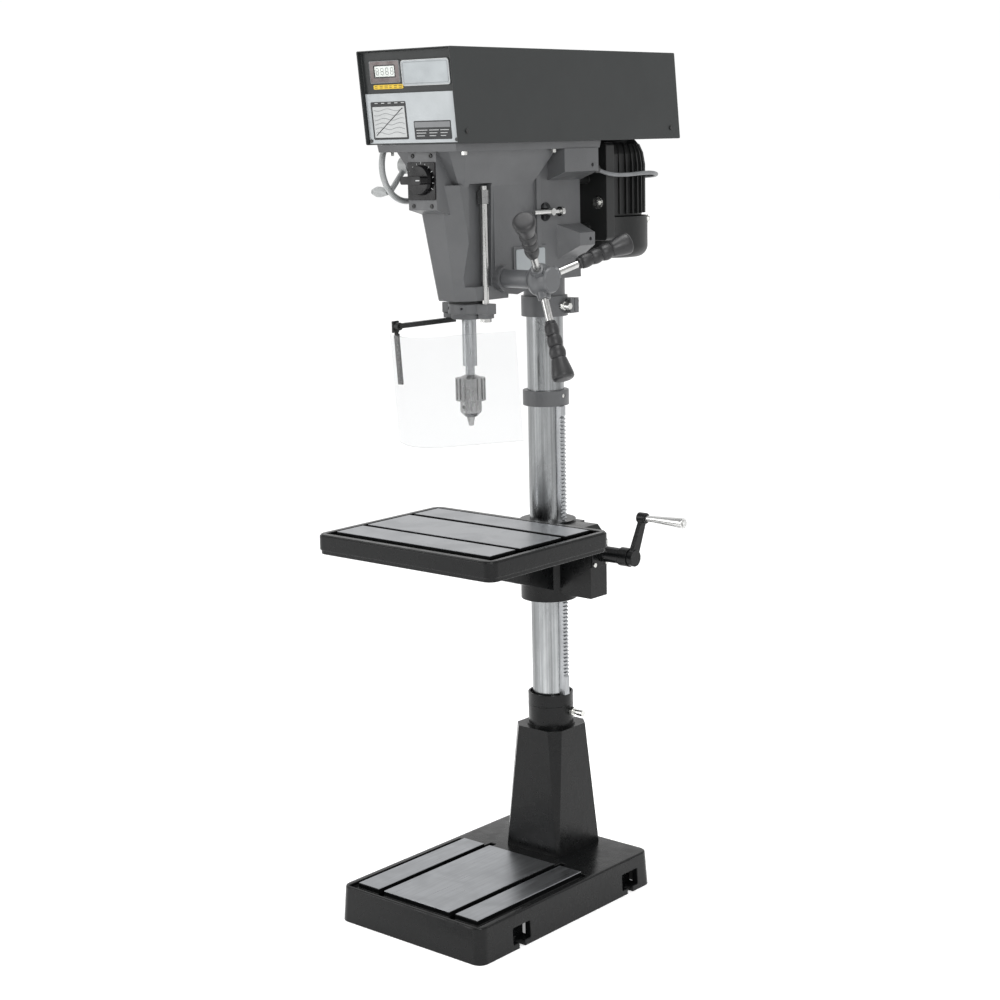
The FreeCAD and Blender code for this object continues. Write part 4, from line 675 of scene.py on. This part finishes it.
def grip_profile():
    """Bulging sections parted by ring grooves, growing to a large rounded end."""
    length = GRIP_END - GRIP_START
    profile = [(0, 0.0002), (0.0070, 0.0002), (0.0096, 0.0), (0.0108, 0.0012), (0.0112, 0.004),
               (0.0104, 0.0058)]
    sections = ((0.06, 0.24, 0.0128, 0.0141), (0.255, 0.43, 0.0132, 0.0149), (0.445, 0.63, 0.0140, 0.0162))
    for start, end, side, crown in sections:
        profile.append((side - 0.0009, start * length))
        for k in range(9):
            t = k / 8
            along = start + (end - start) * (0.03 + 0.94 * t)
            profile.append((side + (crown - side) * math.sin(math.pi * t), along * length))
        profile.append((side - 0.0009, end * length))
    flare = ((0.65, 0.0150), (0.68, 0.0158), (0.73, 0.0170), (0.79, 0.0187), (0.85, 0.0202),
             (0.90, 0.0213), (0.935, 0.0217), (0.955, 0.0214), (0.972, 0.0205), (0.985, 0.0190),
             (0.994, 0.0168), (0.999, 0.0140))
    profile += [(radius, t * length) for t, radius in flare]
    return profile + [(0.008, 1.001 * length), (0, 1.002 * length)]


def grips():
    bm = bmesh.new()
    for angle in LEVER_ANGLES:
        direction = lever_direction(angle)
        add_lathe(bm, grip_profile(), HUB_AT + direction * GRIP_START, direction, 56)
    finished_lathe(bm, "grips_moulded", FINISHES["grip_plastic"], "feed_grips", ["feed_grips"],
                   50.0)


def switch_marks():
    """Raised ticks round the dial and a pointer on its bar."""
    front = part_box("switch_plate")[0].y
    centre = Vector((0, front, SWITCH_Z))
    bm = bmesh.new()
    for k in range(13):
        a = math.radians(-120 + 20 * k)
        radial = Vector((math.sin(a), 0, math.cos(a)))
        side = Vector((math.cos(a), 0, -math.sin(a))) * 0.0005
        near = centre + radial * TICK_START
        far = centre + radial * (TICK_END if k % 3 else LONG_TICK_END)
        prism(bm, [near - side, near + side, far + side, far - side], -Y * MARK_H)
    bmesh.ops.recalc_face_normals(bm, faces=bm.faces)
    piece_from(bm, "switch_ticks", PALE_INK, "switch_plate")
    bm = bmesh.new()
    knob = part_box("switch_knob")
    bar = Vector((0, knob[0].y, SWITCH_Z))
    corners = ((0.014, -0.0011), (0.0235, -0.0011), (0.0235, 0.0011), (0.014, 0.0011))
    prism(bm, [bar + X * a + Z * b for a, b in corners], -Y * MARK_H)
    bmesh.ops.recalc_face_normals(bm, faces=bm.faces)
    piece_from(bm, "switch_pointer", PALE_INK, "switch_knob")


# ---------------------------------------------------------------- motor cable
CABLE_ROUTE = ((89.0, 55.2, 1493.0), (89.0, 68.0, 1489.0), (96.0, 84.0, 1482.0),
               (102.0, 106.0, 1478.0), (106.0, 140.0, 1477.0), (106.0, 180.0, 1479.0),
               (103.0, 226.0, 1480.0), (90.0, 266.0, 1476.0), (62.0, 296.0, 1472.0),
               (28.0, 308.0, 1470.0), (-5.8, 308.0, 1470.0))


def motor_cable():
    data = bpy.data.curves.new("cable_sheath", "CURVE")
    data.dimensions = "3D"
    data.bevel_depth = 0.004
    data.bevel_resolution = 6
    data.resolution_u = 10
    data.use_fill_caps = True
    spline = data.splines.new("NURBS")
    spline.points.add(len(CABLE_ROUTE) - 1)
    for point, at in zip(spline.points, CABLE_ROUTE):
        point.co = (*(v * MM for v in at), 1)
    spline.order_u = 3
    spline.use_endpoint_u = True
    data.materials.append(FINISHES["cable_rubber"])
    cable = bpy.data.objects.new("cable_sheath", data)
    bpy.context.scene.collection.objects.link(cable)
    settle(cable, "motor_cable", ["motor_cable"])

    bm = bmesh.new()
    gland = [(0.0042, 0.0), (0.0105, 0.0), (0.0105, 0.004), (0.0085, 0.0046), (0.0085, 0.011),
             (0.0072, 0.0135), (0.0058, 0.0150), (0.0042, 0.0150), (0.0042, 0.0)]
    first, second = (Vector(p) * MM for p in CABLE_ROUTE[:2])
    last, before = (Vector(p) * MM for p in CABLE_ROUTE[:-3:-1])
    add_lathe(bm, gland, first, second - first, 6)
    add_lathe(bm, gland, last, before - last, 6)
    finished_lathe(bm, "cable_glands", BLACK_OXIDE, "motor_cable", sharp=20.0)


# ---------------------------------------------------------------- camera, floor and light
CAMERA_AT = (2.505, -3.041, 1.555)
CAMERA_HEADING = 40.91
CAMERA_DOWN = 10.57
CAMERA_ROLL = -1.20
CAMERA_LENS = 69.77
CAMERA_LOOKS = (-0.655, 0.756, 0.0)


def camera():
    heading, down, roll = (math.radians(a) for a in (CAMERA_HEADING, CAMERA_DOWN, CAMERA_ROLL))
    level = Vector((math.cos(heading), math.sin(heading), 0))
    ahead = Vector((-math.sin(heading), math.cos(heading), 0))
    forward = ahead * math.cos(down) - Z * math.sin(down)
    rise = level.cross(forward)
    right = math.cos(roll) * level + math.sin(roll) * rise
    up = -math.sin(roll) * level + math.cos(roll) * rise
    data = bpy.data.cameras.new("camera")
    data.lens = CAMERA_LENS
    data.sensor_width = 36.0
    data.clip_end = 100.0
    made = bpy.data.objects.new("camera", data)
    bpy.context.scene.collection.objects.link(made)
    made.matrix_world = Matrix.Translation(CAMERA_AT) @ Matrix((right, up, -forward)).transposed().to_4x4()
    bpy.context.scene.camera = made


def floor():
    bm = bmesh.new()
    bmesh.ops.create_circle(bm, cap_ends=True, radius=40.0, segments=96)
    mesh = bpy.data.meshes.new("floor")
    bm.to_mesh(mesh)
    bm.free()
    made = bpy.data.objects.new("floor", mesh)
    bpy.context.scene.collection.objects.link(made)
    made.location.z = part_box("base")[0].z - 0.0002
    f = Finish("floor_pale", (0.92, 0.92, 0.92), 0.75, specular=0.2)
    f.mottled(1.2, 0.99, 1.01, 2)
    f.shader.inputs["Emission Color"].default_value = (1, 1, 1, 1)
    f.shader.inputs["Emission Strength"].default_value = 0.30
    mesh.materials.append(f.material)


def softbox(name, at, aim, width, height, power):
    data = bpy.data.lights.new(name, "AREA")
    data.shape = "RECTANGLE"
    data.size, data.size_y = width, height
    data.energy = power
    made = bpy.data.objects.new(name, data)
    bpy.context.scene.collection.objects.link(made)
    made.location = at
    made.rotation_mode = "QUATERNION"
    made.rotation_quaternion = (Vector(aim) - Vector(at)).to_track_quat("-Z", "Y")


def studio():
    """A room that is whitest behind the machine as the camera sees it, and three softboxes."""
    world = bpy.data.worlds.new("studio")
    bpy.context.scene.world = world
    world.use_nodes = True
    tree = world.node_tree
    back = tree.nodes["Background"]
    along = tree.nodes.new("ShaderNodeVectorMath")
    along.operation = "DOT_PRODUCT"
    along.inputs[1].default_value = CAMERA_LOOKS
    ramp = tree.nodes.new("ShaderNodeMapRange")
    ramp.inputs["From Min"].default_value = -0.5
    ramp.inputs["From Max"].default_value = 0.45
    ramp.inputs["To Min"].default_value = 0.66
    ramp.inputs["To Max"].default_value = 1.02
    tree.links.new(tree.nodes.new("ShaderNodeTexCoord").outputs["Generated"], along.inputs[0])
    tree.links.new(along.outputs["Value"], ramp.inputs["Value"])
    tree.links.new(ramp.outputs["Result"], back.inputs["Color"])
    back.inputs["Strength"].default_value = 1.0
    softbox("key", (3.6, -2.6, 2.9), (0, -0.1, 0.9), 1.6, 2.2, 95)
    softbox("fill", (-2.6, -3.6, 2.0), (0, -0.2, 1.0), 1.4, 2.4, 45)
    softbox("top", (0.3, -0.4, 4.2), (0, -0.1, 0.0), 2.0, 2.0, 75)
    bpy.context.scene.view_settings.view_transform = "Standard"


carried_over_finishes()
steel_nodes()
castings()
fittings()
front_panel()
cover_button()
grips()
switch_marks()
motor_cable()
floor()
studio()
camera()
